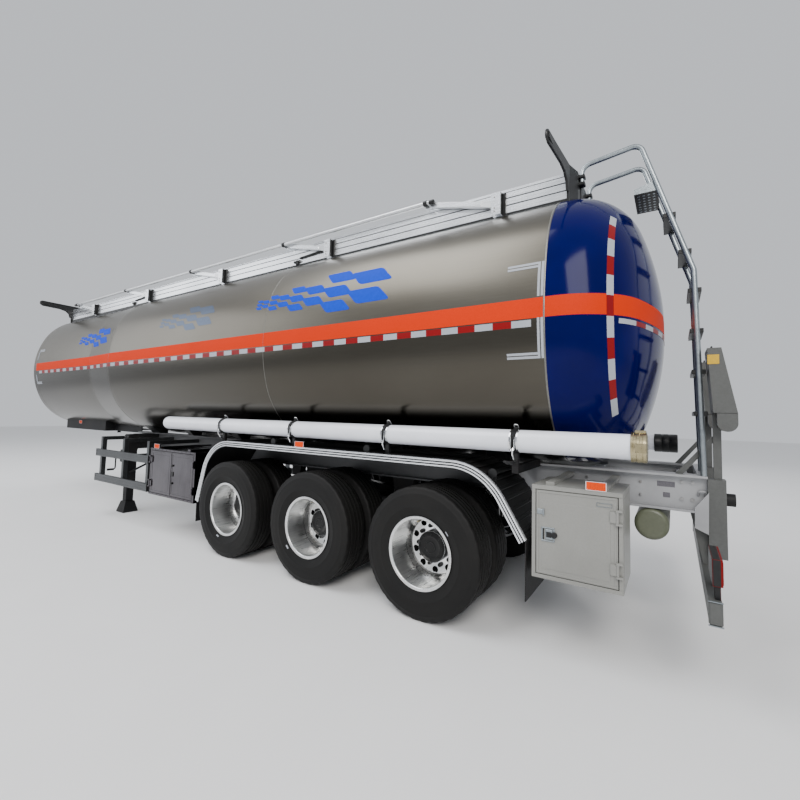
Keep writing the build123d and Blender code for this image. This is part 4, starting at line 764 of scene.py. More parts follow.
CAP_ROWS = [(0.1335, 0.0), (0.1335, 0.072), (0.128, 0.084), (0.117, 0.0930), (0.092, 0.0960), (0.088, 0.0935),
            (0.052, 0.0950), (0.049, 0.0985), (0.043, 0.0985), (0.040, 0.0955), (POLE, 0.0955)]
for wheel, x, side in WHEELS:
    face = side * (DISC_FACE + 0.021)
    cap = turned([(r, side * h) for r, h in CAP_ROWS], (x, face, AXLE_Z), "y", 64)
    cap_bolts = [wheel_nut(0.0085, 0.007, place, side)
                 for place in round_axle(x, face + side * 0.0925, CAP_BOLT_CIRCLE, 8)]
    nuts = [wheel_nut(0.019, 0.030, place, side) for place in round_axle(x, face, NUT_CIRCLE, 10)]
    solid_piece(f"hub_cap_{wheel}", [cap] + cap_bolts, hub_black, f"wheel_{wheel}", slot="dark_steel")
    solid_piece(f"wheel_nuts_{wheel}", nuts, hub_black, f"wheel_{wheel}", slot="dark_steel")

# %% [markdown]
# ## The walkway on the tank's top
# Two coamings of bent sheet run the length of the tank: they keep spilt fuel off its sides
# and carry the folding guard rail. Each is pressed with long grooves and closed by a lip. The
# pieces here are outlines carried along the trailer, and the deck's ribs are one section
# set side by side, cut short where a manhole stands.

# %% Coaming lips, and painted shadow lines in its grooves and at its foot
POST_X = (-4.185, -2.095, -0.005, 2.085, 4.175)
MANHOLE_X = (-3.485, -1.185, 1.115, 3.415)
WALK_REAR, WALK_FRONT = -4.795, 5.345
COAMING_FACE, DECK_TOP = 0.690, 3.692


def long_strips(outlines):
    """Closed (y, z) outlines carried along the trailer, on the left and mirrored to the right."""
    return [extruded(np.asarray(o, float) * [s, 1], WALK_REAR, WALK_FRONT, "x")
            for o in outlines for s in SIDES]


def strip_row(low, high, proud):
    """A flat strip on the coaming's outer face, its two outer edges cut a little."""
    face, crest = COAMING_FACE, COAMING_FACE + proud
    return [(face, low), (crest, low + 0.001), (crest, high - 0.001), (face, high)]


lip_outline = [(0.661, 3.7302), (0.661, 3.735), (0.6972, 3.735), (0.6972, 3.7125), (0.6902, 3.7125),
               (0.6902, 3.7302)]
panels = [strip_row(low, high, 0.0035) for low, high in ((3.5165, 3.583), (3.592, 3.650), (3.659, 3.709))]
solid_piece("coaming_panels", long_strips(panels + [lip_outline]), coaming_bright, slot="plate_aluminium")
# The dark strips in the three grooves and along the coaming's foot are painted shadow: thin dark sheet where
# the grooves and the foot lie in shade.
lines = [strip_row(z - 0.0044, z + 0.0044, 0.0012) for z in (3.5875, 3.6545, 3.7105)]
lines.append([(0.6902, 3.470), (0.6995, 3.470), (0.6995, 3.515), (0.6902, 3.515)])
solid_piece("coaming_painted_shadow_lines", long_strips(lines), dark_paint, slot="dark_steel")

# %% Foot flange on the skin
UPPER_HALF, FOOT_STATIONS = 2.6, 80
foot_y = np.linspace(0.698, 0.728, 4)


def roof_height(x, y):
    """Height of the tank's skin at a station, for places across its top."""
    half = outline_at(x)
    half = half[(half[:, 0] >= 0) & (half[:, 1] > UPPER_HALF)]
    order = np.argsort(half[:, 0])
    return np.interp(y, half[order, 0], half[order, 1])


foot_x = np.linspace(REAR_SEAM + 0.01, FRONT_SEAM - 0.03, FOOT_STATIONS)
foot_z = np.stack([roof_height(x, foot_y) for x in foot_x]) + 0.004
foot = [np.stack([foot_x[:, None] + 0 * foot_z, s * foot_y + 0 * foot_z, foot_z], -1).reshape(-1, 3)
        for s in SIDES]
flange_faces = grid_faces(FOOT_STATIONS, len(foot_y))
sheet_piece("coaming_flanges", [(foot[0], flange_faces), (foot[1], flange_faces[:, ::-1])], coaming_bright)

# %% Ribbed deck between the coamings
RIB_PITCH, HOLE_EDGE = 0.0475, 0.300
rib_section = np.array([(-0.009, 0.0), (-0.006, 0.005), (0.006, 0.005), (0.009, 0.0)])
rib_section = rib_section + [0, DECK_TOP - 0.0005]
ribs = []
for y in np.arange(-0.6412, 0.65, RIB_PITCH):
    edges = [WALK_REAR]
    for x in MANHOLE_X:
        half = np.sqrt(max(HOLE_EDGE ** 2 - y ** 2, 0.0))
        if half > 0.02:
            edges += [x - half, x + half]
    edges.append(WALK_FRONT)
    ribs += [extruded(rib_section + [y, 0], a, b, "x") for a, b in zip(edges[::2], edges[1::2])]
solid_piece("deck_ribs", ribs, bright_sheet, slot="plate_aluminium")

# %% Posts, bolts, valves beside them and painted shadow behind the posts
# Each post gets a thin dark box, its rear edge, and a wider dark box behind that, which is painted shadow in
# the gap between post and coaming.
post_dark_parts_and_shade, post_steel = [], []
for x in POST_X:
    post_dark_parts_and_shade += [box_shape((x - 0.0485, 0.693, 3.500), (x - 0.0448, 0.756, 3.700), 0.001),
                   box_shape((x - 0.078, 0.6895, 3.492), (x - 0.0485, 0.712, 3.704), 0.003)]
    for z in (3.53, 3.56, 3.66):
        post_steel.append(stud(0.008, 0.004, (x + 0.012, 0.758, z)))
for x in POST_X[1::2]:
    post_dark_parts_and_shade += [tube([(x + 0.13, 0.7045, 3.607), (x + 0.50, 0.7045, 3.585)], 0.0125),
                   tube([(x + 0.50, 0.7045, 3.549), (x + 0.60, 0.7045, 3.547)], 0.016),
                   box_shape((x + 0.53, 0.6905, 3.512), (x + 0.57, 0.716, 3.565), 0.003)]
    post_steel.append(tube([(x + 0.06, 0.7045, 3.611), (x + 0.14, 0.7045, 3.606)], 0.006))
solid_piece("post_dark_parts_and_gap_shade", post_dark_parts_and_shade, dark_paint, slot="dark_steel")
solid_piece("post_bolts", post_steel, steel, slot="galvanised")

# %% Wedge arms and tube clamps of the guard rail
PIVOT_Z, TIP_X, TIP_Z, RAIL_Y = 3.600, 0.738, 3.780, 0.767
wedge = np.array([(0.15, 3.6215), (0.68, 3.736), (0.68, 3.724), (0.752, 3.742), (0.752, 3.800),
                  (0.15, 3.6545)])
PIN_ROWS = [(0.013, 0.741), (0.013, 0.7485), (0.009, 0.7505), (POLE, 0.7505)]
for n, x in enumerate(POST_X, 1):
    arm = extruded(wedge + [x, 0], 0.7035, 0.7445, "y")
    pin = turned(PIN_ROWS, (x, 0, PIVOT_Z), "y", 16)
    solid_piece(f"guard_wedge_{n}", [arm, pin], coaming_bright, f"guard_link_{n}", slot="plate_aluminium")
clamp_rows = [(0.0215, -0.022), (0.0275, -0.020), (0.0275, 0.020), (0.0215, 0.022)]
clamps = [turned(clamp_rows, (x + TIP_X, RAIL_Y, TIP_Z), "x", 24) for x in POST_X]
rear_cap = [(POLE, -0.006), (0.018, -0.006), (0.0225, -0.002), (0.0225, 0.045), (0.0208, 0.046)]
front_cap = [(r, -h) for r, h in rear_cap[::-1]]
ends = [turned(rear_cap, (-3.537, RAIL_Y, TIP_Z), "x", 24),
        turned(front_cap, (5.003, RAIL_Y, TIP_Z), "x", 24)]
solid_piece("guard_tube_clamps", clamps + ends, dark_paint, "guard_tube", slot="dark_steel")

# %% Manhole lids with their covers, clamps and vents
LID_TOP, LID_BOLT_CIRCLE = 3.781, 0.277
DOME_ROWS = [(0.292, -0.001), (0.292, 0.004), (0.262, 0.006), (0.250, 0.012), (0.170, 0.026), (POLE, 0.028)]
COVER_ROWS = [(0.088, 0.020), (0.088, 0.052), (0.082, 0.060), (0.030, 0.064), (POLE, 0.064)]
VENT_ROWS = [(0.030, 0.010), (0.030, 0.050), (0.042, 0.052), (0.042, 0.066), (0.030, 0.074), (POLE, 0.076)]
LID_BOLT_ROWS = [(0.010, 0.003), (0.010, 0.011), (POLE, 0.013)]
lid_rib = box_shape((0.09, -0.006, 0.0), (0.245, 0.006, 0.030), 0.003)
rib_turns = [np.array(Matrix.Rotation(a, 3, "Z")).T for a in np.pi * (np.arange(6) + 0.5) / 3]
for n, x in enumerate(MANHOLE_X, 1):
    bolt_places = [(x + LID_BOLT_CIRCLE * np.cos(a), LID_BOLT_CIRCLE * np.sin(a), LID_TOP)
                   for a in np.pi * np.arange(16) / 8]
    bolts = [turned(LID_BOLT_ROWS, place, "z", 10) for place in bolt_places]
    ribs = [(lid_rib[0] @ turn + [x, 0, LID_TOP], lid_rib[1]) for turn in rib_turns]
    solid_piece(f"lid_dome_{n}", [turned(DOME_ROWS, (x, 0, LID_TOP), "z", 56)] + bolts + ribs, bright_sheet,
                f"lid_{n}", slot="plate_aluminium")
    cover = turned(COVER_ROWS, (x, 0, LID_TOP), "z", 40)
    vent = turned(VENT_ROWS, (x + 0.03, 0.185, LID_TOP), "z", 24)
    handle = [(x + dx, y, LID_TOP + dz) for dx, y, dz in
              ((0.29, -0.05, 0.006), (0.32, -0.05, 0.03), (0.32, 0.05, 0.03), (0.29, 0.05, 0.006))]
    lever = [box_shape((x + 0.070, -0.016, LID_TOP + 0.064), (x - 0.100, 0.016, LID_TOP + 0.074), 0.003),
             tube(bent(handle, 0.02), 0.007)]
    solid_piece(f"lid_cover_{n}", [cover, vent] + lever, brass_plate, f"lid_{n}", slot="plate_aluminium")

# %% Rolled edges on the end plates, their stiffeners and the handrail's clamps
HORN_OUTLINE = [(0.735, 3.560), (0.760, 3.640), (0.820, 3.690), (0.920, 3.712), (1.200, 3.716),
                (1.238, 3.740), (1.238, 3.784), (1.210, 3.803), (0.0, 3.803)]
REAR_END, FRONT_END = -1, 1


def plate_station(y, end):
    """Middle of the end plate's thickness: bulged out in the middle, its horns swept back."""
    reach = np.interp(np.abs(y), [0, 0.55, 0.69, 1.24], [0.040, 0.040, 0.0, -0.045]) + 0.008
    return np.where(end == REAR_END, -4.80 - reach, 5.35 + reach)


horn_y, horn_z = bent([(y, z, 0) for y, z in HORN_OUTLINE], 0.03, 4)[:, :2].T
edges, stiffeners, tips = [], [], []
for end in (REAR_END, FRONT_END):
    for s in SIDES:
        edge_line = np.stack([plate_station(horn_y, end), s * horn_y, horn_z], -1)
        edges.append(swept(ring(0.0105, 8), edge_line, (1, 0, 0)))
        x = float(plate_station(1.15, end))
        tips.append(box_shape((x - 0.013, s * 1.10, 3.738), (x + 0.013, s * 1.225, 3.786), 0.004))
    x = float(plate_station(0.0, end))
    for y in (-0.42, 0.0, 0.42):
        stiffeners.append(box_shape((x - 0.014, y - 0.02, 3.500), (x + 0.014, y + 0.02, 3.790), 0.003))
for y in (0.13, 0.49):
    for z in (3.712, 3.776):
        stiffeners.append(box_shape((-4.905, y - 0.034, z - 0.014), (-4.850, y + 0.034, z + 0.014), 0.004))
for name, shapes in (("end_plate_edges", edges), ("end_plate_stiffeners", stiffeners), ("horn_tips", tips)):
    solid_piece(name, shapes, dark_paint, slot="dark_steel")

# %% [markdown]
# ## Tiles and the ladder's treads
# The pattern on the tank's side is plain: three fields of rounded slanted tiles, in columns
# of two and three that shrink towards the front, the middle field pale. A painter would mask
# them; here every tile is a rounded outline laid on the skin as film. Each tread of the
# ladder is a dark pressed channel whose holes are rings of bright metal.


# %% Tiles laid on the skin
TILE_LENGTH, TILE_HEIGHT, TILE_LEAN, TILE_ROUND = 0.33, 0.125, 1.05, 0.3
COLUMN_PITCH, ROW_PITCH, MIDDLE_SHIFT, COLUMN_SHRINK = 0.37, 0.168, 0.155, 0.80


def tile_outline(centre, width, height, steps=5):
    """A slanted four-sided tile in (x, z) whose corners are curves."""
    w, h = width / 2, height / 2
    corners = [np.array([a * w + b * h * TILE_LEAN, b * h]) for a, b in ((-1, -1), (1, -1), (1, 1), (-1, 1))]
    rows = []
    for k, here in enumerate(corners):
        before, after = corners[k - 1], corners[(k + 1) % 4]
        reach = TILE_ROUND * min(width, height)
        a = here + (before - here) / np.linalg.norm(before - here) * reach
        b = here + (after - here) / np.linalg.norm(after - here) * reach
        t = np.linspace(0, 1, steps)[:, None]
        rows.append((1 - t) ** 2 * a + 2 * t * (1 - t) * here + t ** 2 * b)
    return np.concatenate(rows) + centre


def tile_patch(outline, side, rings=4):
    """Rings that shrink the outline towards its middle, each laid on the tank's side."""
    middle = outline.mean(0)
    share = np.linspace(1, 0.02, rings)[:, None, None]
    flat = middle + share * (outline - middle)[None]
    y = np.array([[float(side_reach(x, z)) for x, z in row] for row in flat]) + FILM
    points = np.stack([flat[..., 0], side * y, flat[..., 1]], -1).reshape(-1, 3)
    n = len(outline)
    faces = grid_faces(rings, n, wrap_columns=True).tolist()
    return points, faces + [[(rings - 1) * n + k for k in range(n)]]


def tile_field(x, z, size, columns):
    """Columns of two and three rounded tiles in turn, whose tiles shrink from column to column."""
    outlines = []
    for k in range(columns):
        count = 3 if k % 2 else 2
        for row in range(count):
            centre = np.array([x + MIDDLE_SHIFT * size, z + (row - (count - 1) / 2) * ROW_PITCH * size])
            outlines.append(tile_outline(centre, TILE_LENGTH * size, TILE_HEIGHT * size))
        x, size = x + COLUMN_PITCH * size, size * COLUMN_SHRINK
    return outlines


for name, film, outlines in (
        ("blue_tiles", tile_blue, tile_field(-3.25, 2.90, 1.20, 8) + tile_field(2.45, 2.88, 0.90, 6)),
        ("pale_tiles", tile_pale, tile_field(-0.50, 2.90, 0.92, 6))):
    facing_out(sheet_piece(name, [tile_patch(o, s) for o in outlines for s in SIDES], film))

# %% Dark treads and the landing's holes
TREAD_SIDES, TREAD_TOPS = (0.128, 0.492), (3.30, 2.988, 2.676, 2.364, 2.052, 1.740)
LANDING_REAR, LANDING_FRONT, LANDING_LOW, LANDING_TOP = -5.452, -5.282, 3.507, 3.535
HOLE_RIM = [(0.0085, 0.0), (0.0085, 0.004), (0.006, 0.004), (0.006, 0.0)]
HOLE_UNDERSIDE = [(POLE, -0.0015), (0.0105, -0.0015), (0.0105, 0.0), (POLE, 0.0)]


def stile_x(z):
    """Station of the ladder's tubes at a height."""
    return np.interp(z, [1.271, 2.816, 3.929], [-5.714, -5.678, -5.328])


tread_shapes, tread_rings = [], []
low_y, high_y = TREAD_SIDES
for z in TREAD_TOPS:
    x = float(stile_x(z))
    tread_shapes.append(box_shape((x - 0.0445, low_y, z - 0.0305), (x + 0.0445, high_y, z + 0.0025), 0.003))
    tread_rings += [turned(HOLE_RIM, (x + dx, y, z + 0.0023), "z", 10)
                    for dx in (-0.022, 0.022) for y in np.linspace(0.16, 0.46, 9)]
tread_shapes.append(box_shape((LANDING_REAR - 0.002, low_y, LANDING_LOW - 0.0035),
                              (LANDING_FRONT + 0.002, high_y, LANDING_LOW + 0.004), 0.002))
for x in np.linspace(LANDING_REAR + 0.03, LANDING_FRONT - 0.03, 4):
    for y in np.linspace(0.165, 0.455, 7):
        tread_rings += [turned(HOLE_UNDERSIDE, (x, y, LANDING_LOW - 0.0034), "z", 12),
                        turned(HOLE_RIM, (x, y, LANDING_TOP), "z", 10)]
solid_piece("tread_covers", tread_shapes, dark_paint, slot="dark_steel")
solid_piece("tread_holes", tread_rings, zinc, slot="galvanised")

# %% [markdown]
# ## Hose tubes and mudguards
# The long white tubes keep the discharge hoses. Each hangs in rings with a spring toggle like
# the one on a preserving jar: a bent lever, a wire loop and a lug. The mudguards are black
# sheet with a bright ridged moulding along the outer edge, and ribs across where they curve.

# %% Rings, toggles and lugs of the tubes
BRACKET_X, TUBE_Y = (-4.505, -3.305, -2.075, -0.835), 1.098
TUBE_Z, TUBE_REAR = {1: 1.490, -1: 1.420}, {1: -5.372, -1: -5.552}
RING_ROWS = [[(0.0862, -0.034), (0.0885, -0.033), (0.0885, -0.023), (0.0862, -0.022)],
             [(0.0862, 0.022), (0.0885, 0.023), (0.0885, 0.033), (0.0862, 0.034)]]
LOOP = [(-0.015, -0.020, 0.094), (-0.015, 0.012, 0.125), (0.015, 0.012, 0.125), (0.015, -0.020, 0.094)]
LEVER = [(0.0, 0.080, -0.050), (0.0, 0.094, -0.085), (0.0, 0.060, -0.135), (0.0, 0.010, -0.168)]
WIRE = [(-0.014, 0.086, 0.035), (-0.014, 0.096, -0.070), (0.014, 0.096, -0.070), (0.014, 0.086, 0.035)]
LUGS = [(0.017, -0.013, 0.013, 0.089, 0.108, 0.003), (0.019, -0.014, 0.020, -0.150, -0.090, 0.004),
        (0.013, 0.080, 0.095, 0.018, 0.044, 0.003)]
toggles, lugs = [], []
for s in SIDES:
    y, z = s * TUBE_Y, TUBE_Z[s]
    for x in BRACKET_X:
        loop, lever, wire = ([(x + dx, y + s * out, z + up) for dx, out, up in line]
                             for line in (LOOP, LEVER, WIRE))
        toggles += [turned(rows, (x, y, z), "x", 48) for rows in RING_ROWS]
        toggles += [tube(bent(loop, 0.012), 0.0035, 8), tube(bent(lever, 0.03), 0.0065, 10, (1, 0, 0)),
                    tube(bent(wire, 0.012), 0.0032, 8, (1, 0, 0))]
        lugs += [box_shape((x - reach, y + s * near, z + low), (x + reach, y + s * far, z + high), chamfer)
                 for reach, near, far, low, high, chamfer in LUGS]
solid_piece("tube_toggles", toggles, polished, slot="galvanised")
solid_piece("tube_lugs", lugs, dark_paint, slot="dark_steel")

# %% The left tube's collar and the right tube's sleeve
COLLAR_ROWS = [(0.0965, -0.0095), (0.1005, -0.0085), (0.1010, 0.010), (0.0985, 0.013), (0.0985, 0.028),
               (0.1010, 0.031), (0.1010, 0.046), (0.0985, 0.049), (0.0985, 0.064), (0.1010, 0.067),
               (0.1005, 0.082), (0.0965, 0.083)]
END_DISC_ROWS = [(0.0965, -0.0085), (0.085, -0.0130), (0.020, -0.0150), (POLE, -0.0150)]
SLEEVE_ROWS = [(POLE, -0.014), (0.090, -0.014), (0.0985, -0.009), (0.0990, 0.060), (0.0965, 0.064),
               (0.0965, 0.070), (0.0990, 0.074), (0.0990, 0.130), (0.0965, 0.134), (0.0965, 0.140),
               (0.0990, 0.144), (0.0990, 0.205), (0.0870, 0.210)]
x, y, z = TUBE_REAR[1], TUBE_Y, TUBE_Z[1]
collar = [turned(COLLAR_ROWS, (x, y, z), "x", 56), turned(END_DISC_ROWS, (x, y, z), "x", 40),
          box_shape((x - 0.006, y - 0.022, z + 0.092), (x + 0.060, y + 0.022, z + 0.112), 0.004),
          box_shape((x - 0.012, y + 0.088, z - 0.03), (x + 0.055, y + 0.108, z + 0.03), 0.004)]
solid_piece("tube_collar", collar, brass_plate, slot="galvanised")
sleeve = turned(SLEEVE_ROWS, (TUBE_REAR[-1], -TUBE_Y, TUBE_Z[-1]), "x", 56)
solid_piece("tube_sleeve", [sleeve], dark_paint, slot="dark_steel")

# %% Mudguard mouldings and their grooves
GUARD_FACE, GUARD_IN = 1.205, 0.560
GUARD_CORNERS = [(-4.615, 0, 0.790), (-4.295, 0, 1.312), (-0.685, 0, 1.312), (-0.465, 0, 0.560)]
guard_line = bent(GUARD_CORNERS, 0.6, 24)[:, [0, 2]]
guard_run = np.concatenate([[0], np.cumsum(np.linalg.norm(np.diff(guard_line, axis=0), axis=1))])
guard_along = np.gradient(guard_line, axis=0)
guard_along /= np.linalg.norm(guard_along, axis=1, keepdims=True)
guard_up = np.stack([-guard_along[:, 1], guard_along[:, 0]], -1)
RIDGES = [(-0.022, 0.0012), (-0.022, 0.0045), (0.0005, 0.0045), (0.0062, 0.0015), (0.0062, -0.0100),
          (0.0006, -0.0125), (0.0006, -0.0195), (0.0062, -0.0220), (0.0062, -0.0320), (0.0006, -0.0345),
          (0.0006, -0.0415), (0.0062, -0.0440), (0.0062, -0.0545), (0.0005, -0.058), (-0.0062, -0.058),
          (-0.0062, -0.046), (0.0001, -0.044), (0.0001, 0.0004)]
GROOVES = [[(0.0003, a), (0.0020, a), (0.0020, a - 0.0062), (0.0003, a - 0.0062)] for a in (-0.0129, -0.0349)]


def guard_moulding(side, rows):
    """A section of (outward, up) rows carried along the mudguard's outer edge, with both ends."""
    section = np.asarray(rows)
    flat = guard_line[:, None] + section[None, :, 1:] * guard_up[:, None]
    y = side * (GUARD_FACE + section[:, 0]) + 0 * flat[..., 0]
    points = np.stack([flat[..., 0], y, flat[..., 1]], -1).reshape(-1, 3)
    n, last = len(section), (len(guard_line) - 1) * len(section)
    faces = grid_faces(len(guard_line), n, wrap_columns=True).tolist()
    return points, faces + [list(range(n)), list(range(last, last + n))]


def guard_place(run):
    """Place, direction and outward direction at a length along the mudguard."""
    here = np.array([np.interp(run, guard_run, guard_line[:, k]) for k in range(2)])
    along = np.array([np.interp(run, guard_run, guard_along[:, k]) for k in range(2)])
    along /= np.linalg.norm(along)
    return here, along, np.array([-along[1], along[0]])


mouldings = [guard_moulding(s, RIDGES) for s in SIDES]
solid_piece("guard_mouldings", mouldings, coaming_bright, slot="plate_aluminium")
# The grooves between the moulding's ridges are filled with near-black: painted shade in the recesses.
grooves = [guard_moulding(s, rows) for s in SIDES for rows in GROOVES]
solid_piece("guard_grooves", grooves, painted_shade_black, slot="dark_steel")

# %% Ribs and stays of the mudguards
RIB_STEP, RIB_HEIGHT = 0.085, 0.006
STAY_PLACES = ((-4.33, 1.235), (-3.08, 1.345), (-1.77, 1.345), (-0.66, 1.23))
WASHER_ROWS = [(POLE, 0), (0.036, 0), (0.036, 0.010), (POLE, 0.010)]
ribs, stays = [], []
for run in np.arange(0.06, guard_run[-1] - 0.03, RIB_STEP):
    here, along, up = guard_place(run)
    crest = here + RIB_HEIGHT * up
    outline = [here - 0.017 * along, crest - 0.012 * along, crest + 0.012 * along, here + 0.017 * along]
    ribs += [extruded(outline, s * (GUARD_IN + 0.01), s * (GUARD_FACE - 0.024), "y") for s in SIDES]
solid_piece("guard_ribs", ribs, black_sheet, slot="dark_steel")
for x, z in STAY_PLACES:
    for s in SIDES:
        stays += [tube([(x, s * 0.50, z), (x, s * 1.13, z)], 0.019, 16),
                  turned(WASHER_ROWS, (x, s * 1.13 - 0.005, z), "y", 20),
                  box_shape((x - 0.030, s * 0.56, z - 0.045), (x + 0.030, s * 0.585, z + 0.030), 0.004),
                  box_shape((x - 0.022, s * 1.10, z - 0.080), (x + 0.022, s * 1.115, z + 0.024), 0.004)]
solid_piece("guard_stays", stays, dark_paint, slot="dark_steel")

# %% [markdown]
# ## Boxes, lamps and side guards
# A locker's door is a pressed panel in a welded frame, with a paddle latch and a round lock.
# The valve cabinet ahead of the wheels has two polished leaves. Each detail sits on the face
# the solid model gives, and rides on the door where it moves with it.

# %% Locker frame, door panel and latch
BOX_FACE = 1.190


def frame_strips(x0, x1, z0, z1, width, proud, skip=()):
    """Four strips round a rectangle on the boxes' outer face, less those that are skipped."""
    rows = {"low": (x0, z0, x1, z0 + width), "high": (x0, z1 - width, x1, z1),
            "rear": (x0, z0 + width, x0 + width, z1 - width),
            "front": (x1 - width, z0 + width, x1, z1 - width)}
    return [box_shape((a, BOX_FACE - 0.002, b), (c, BOX_FACE + proud, d), 0.0015)
            for key, (a, b, c, d) in rows.items() if key not in skip]


def face_plate(x0, x1, z0, z1, low, high, chamfer):
    """A plate on the boxes' outer face, from one depth to another about that face."""
    return box_shape((x0, BOX_FACE + low, z0), (x1, BOX_FACE + high, z1), chamfer)


locker = frame_strips(-5.245, -4.655, 0.550, 1.190, 0.026, 0.004, skip=("rear",))
locker += [box_shape((-5.247, 0.712, 1.186), (-4.653, 1.194, 1.1925), 0.002),
           box_shape((-5.2475, 0.74, 0.60), (-5.2445, 1.16, 1.15), 0.001)]
solid_piece("locker_frame", locker, box_grey, slot="box_paint")
panel = frame_strips(-5.206, -4.690, 0.585, 1.155, 0.014, 0.0028)
panel.append(face_plate(-5.170, -4.725, 0.620, 1.080, -0.002, 0.0016, 0.0014))
solid_piece("locker_panel", panel, box_grey, "tool_box_leaf", slot="box_paint")
latch = frame_strips(-4.815, -4.722, 0.808, 0.906, 0.010, 0.0065)
latch += [face_plate(-4.803, -4.750, 0.822, 0.892, 0.0, 0.009, 0.003),
          face_plate(-4.735, -4.692, 0.990, 1.026, -0.002, 0.006, 0.003),
          tube([(-4.739, BOX_FACE + 0.008, 0.985), (-4.739, BOX_FACE + 0.008, 1.031)], 0.006, 10, (1, 0, 0))]
latch += frame_strips(-5.182, -5.086, 1.092, 1.118, 0.003, 0.0042)
solid_piece("locker_latch", latch, zinc, "tool_box_leaf", slot="galvanised")
LOCK_ROWS = [(0.021, 0.0), (0.021, 0.012), (0.017, 0.016), (POLE, 0.016)]
lock = [turned(LOCK_ROWS, (-4.812, BOX_FACE, 0.858), "y", 24),
        face_plate(-4.742, -4.733, 0.815, 0.899, -0.002, 0.004, 0.001),
        face_plate(-4.795, -4.758, 0.838, 0.876, 0.0085, 0.0105, 0.001)]
solid_piece("locker_lock", lock, dark_paint, "tool_box_leaf", slot="dark_steel")

# %% Cabinet leaves, hasp and rivets
for name, x0, x1 in (("rear", -0.338, 0.158), ("front", 0.172, 0.668)):
    leaf = frame_strips(x0, x1, 0.542, 1.088, 0.020, 0.003)
    leaf.append(face_plate(x0 + 0.045, x1 - 0.045, 0.580, 1.050, -0.002, 0.0018, 0.0016))
    solid_piece(f"cabinet_panel_{name}", leaf, stainless, f"cabinet_leaf_{name}", slot="stainless")
hasp = [face_plate(0.100, 0.150, 0.790, 0.850, -0.001, 0.010, 0.003)]
hasp += [stud(0.014, 0.016, (0.125, BOX_FACE, z), sides=20) for z in (0.700, 0.930)]
solid_piece("cabinet_hasp", hasp, dark_paint, "cabinet_leaf_rear", slot="dark_steel")
cabinet = frame_strips(-0.385, 0.715, 0.500, 1.130, 0.024, 0.003, skip=("rear", "front"))
cabinet.append(box_shape((-0.388, 0.628, 1.127), (0.718, 1.193, 1.1325), 0.002))
cabinet += [turned([(0.006, 0.0), (0.005, 0.003), (POLE, 0.004)], (x, BOX_FACE + 0.003, z), "y", 10)
            for x in np.linspace(-0.36, 0.69, 12) for z in (0.512, 1.118)]
solid_piece("cabinet_frame", cabinet, stainless, slot="stainless")

# %% Side lamps
LAMP_PLACES = [(-5.083, 1.193, BOX_FACE, 1), (-2.257, 1.315, GUARD_FACE, 1), (-2.257, 1.315, GUARD_FACE, -1),
               (0.565, 1.133, BOX_FACE, 1), (4.710, 1.353, 0.639, 1), (4.710, 1.353, 0.639, -1)]
LENS_STEP = 0.0149
lenses, bases = [], []
for x, z, face, s in LAMP_PLACES:
    back, front = s * (face - 0.020), s * (face + 0.0015)
    lenses += [box_shape((x - 0.052 + LENS_STEP * k, s * (face - 0.002), z + 0.006),
                         (x - 0.0425 + LENS_STEP * k, s * (face + 0.0032), z + 0.050), 0.002)
               for k in range(7)]
    bases += [box_shape((x - 0.066, back, z + low), (x + 0.066, front, z + high), 0.001)
              for low, high in ((-0.001, 0.003), (0.055, 0.0595))]
    bases += [box_shape((x + x0, s * (face - 0.019), z), (x + x1, front, z + 0.058), 0.001)
              for x0, x1 in ((-0.066, -0.0605), (0.0605, 0.066))]
solid_piece("lamp_lenses", lenses, amber_lens, slot="amber")
solid_piece("lamp_bases", bases, polished, slot="galvanised")

# %% Rear lamps and reflectors
REAR_FACE, LAMP_LOW, LAMP_HIGH, LAMP_OUT = -5.763, 0.710, 0.865, 1.160
CLUSTER_STEP = 0.0222
clusters, shells = [], []
for s in SIDES:
    shells.append(box_shape((REAR_FACE + 0.006, s * (LAMP_OUT + 0.002), LAMP_LOW - 0.002),
                            (REAR_FACE + 0.0525, s * 0.838, LAMP_HIGH + 0.002), 0.006))
    shells += [box_shape((REAR_FACE + 0.012, s * (LAMP_OUT - a), 0.630),
                         (REAR_FACE + 0.040, s * (LAMP_OUT - b), LAMP_LOW), 0.002)
               for a, b in ((0.014, 0.066), (0.254, 0.306))]
    clusters += [box_shape((REAR_FACE - 0.003, s * y, LAMP_LOW + 0.012),
                           (REAR_FACE + 0.004, s * (y + 0.019), LAMP_HIGH - 0.012), 0.002)
                 for y in 0.850 + CLUSTER_STEP * np.arange(14)]
solid_piece("rear_lenses", clusters, red_lens, slot="red_lens")
solid_piece("rear_lamp_shells", shells, dark_paint, slot="dark_steel")
DISC_ROWS = [(POLE, -0.007), (0.036, -0.007), (0.041, -0.003), (0.041, 0.001)]
discs = [turned(DISC_ROWS, (-5.755, s * 0.62, 0.565), "x", 28) for s in SIDES]
solid_piece("rear_reflectors", discs, red_lens, slot="red_lens")

# %% Blank plate and the bumper's ends
plate = box_shape((-5.760, -0.26, 0.515), (-5.754, 0.26, 0.615), 0.002)
solid_piece("blank_rear_plate", [plate], film_white, slot="plate_aluminium")
caps = [box_shape((-5.758, s * 1.150, 0.497), (-5.687, s * 1.196, 0.633), 0.010) for s in SIDES]
edges = [box_shape((-5.760, s * 1.185, z), (-5.685, s * 1.199, z + 0.006), 0.002)
         for s in SIDES for z in (0.494, 0.630)]
solid_piece("bumper_caps", caps, mid_grey, slot="grey_paint")
solid_piece("bumper_edges", edges, zinc, slot="galvanised")

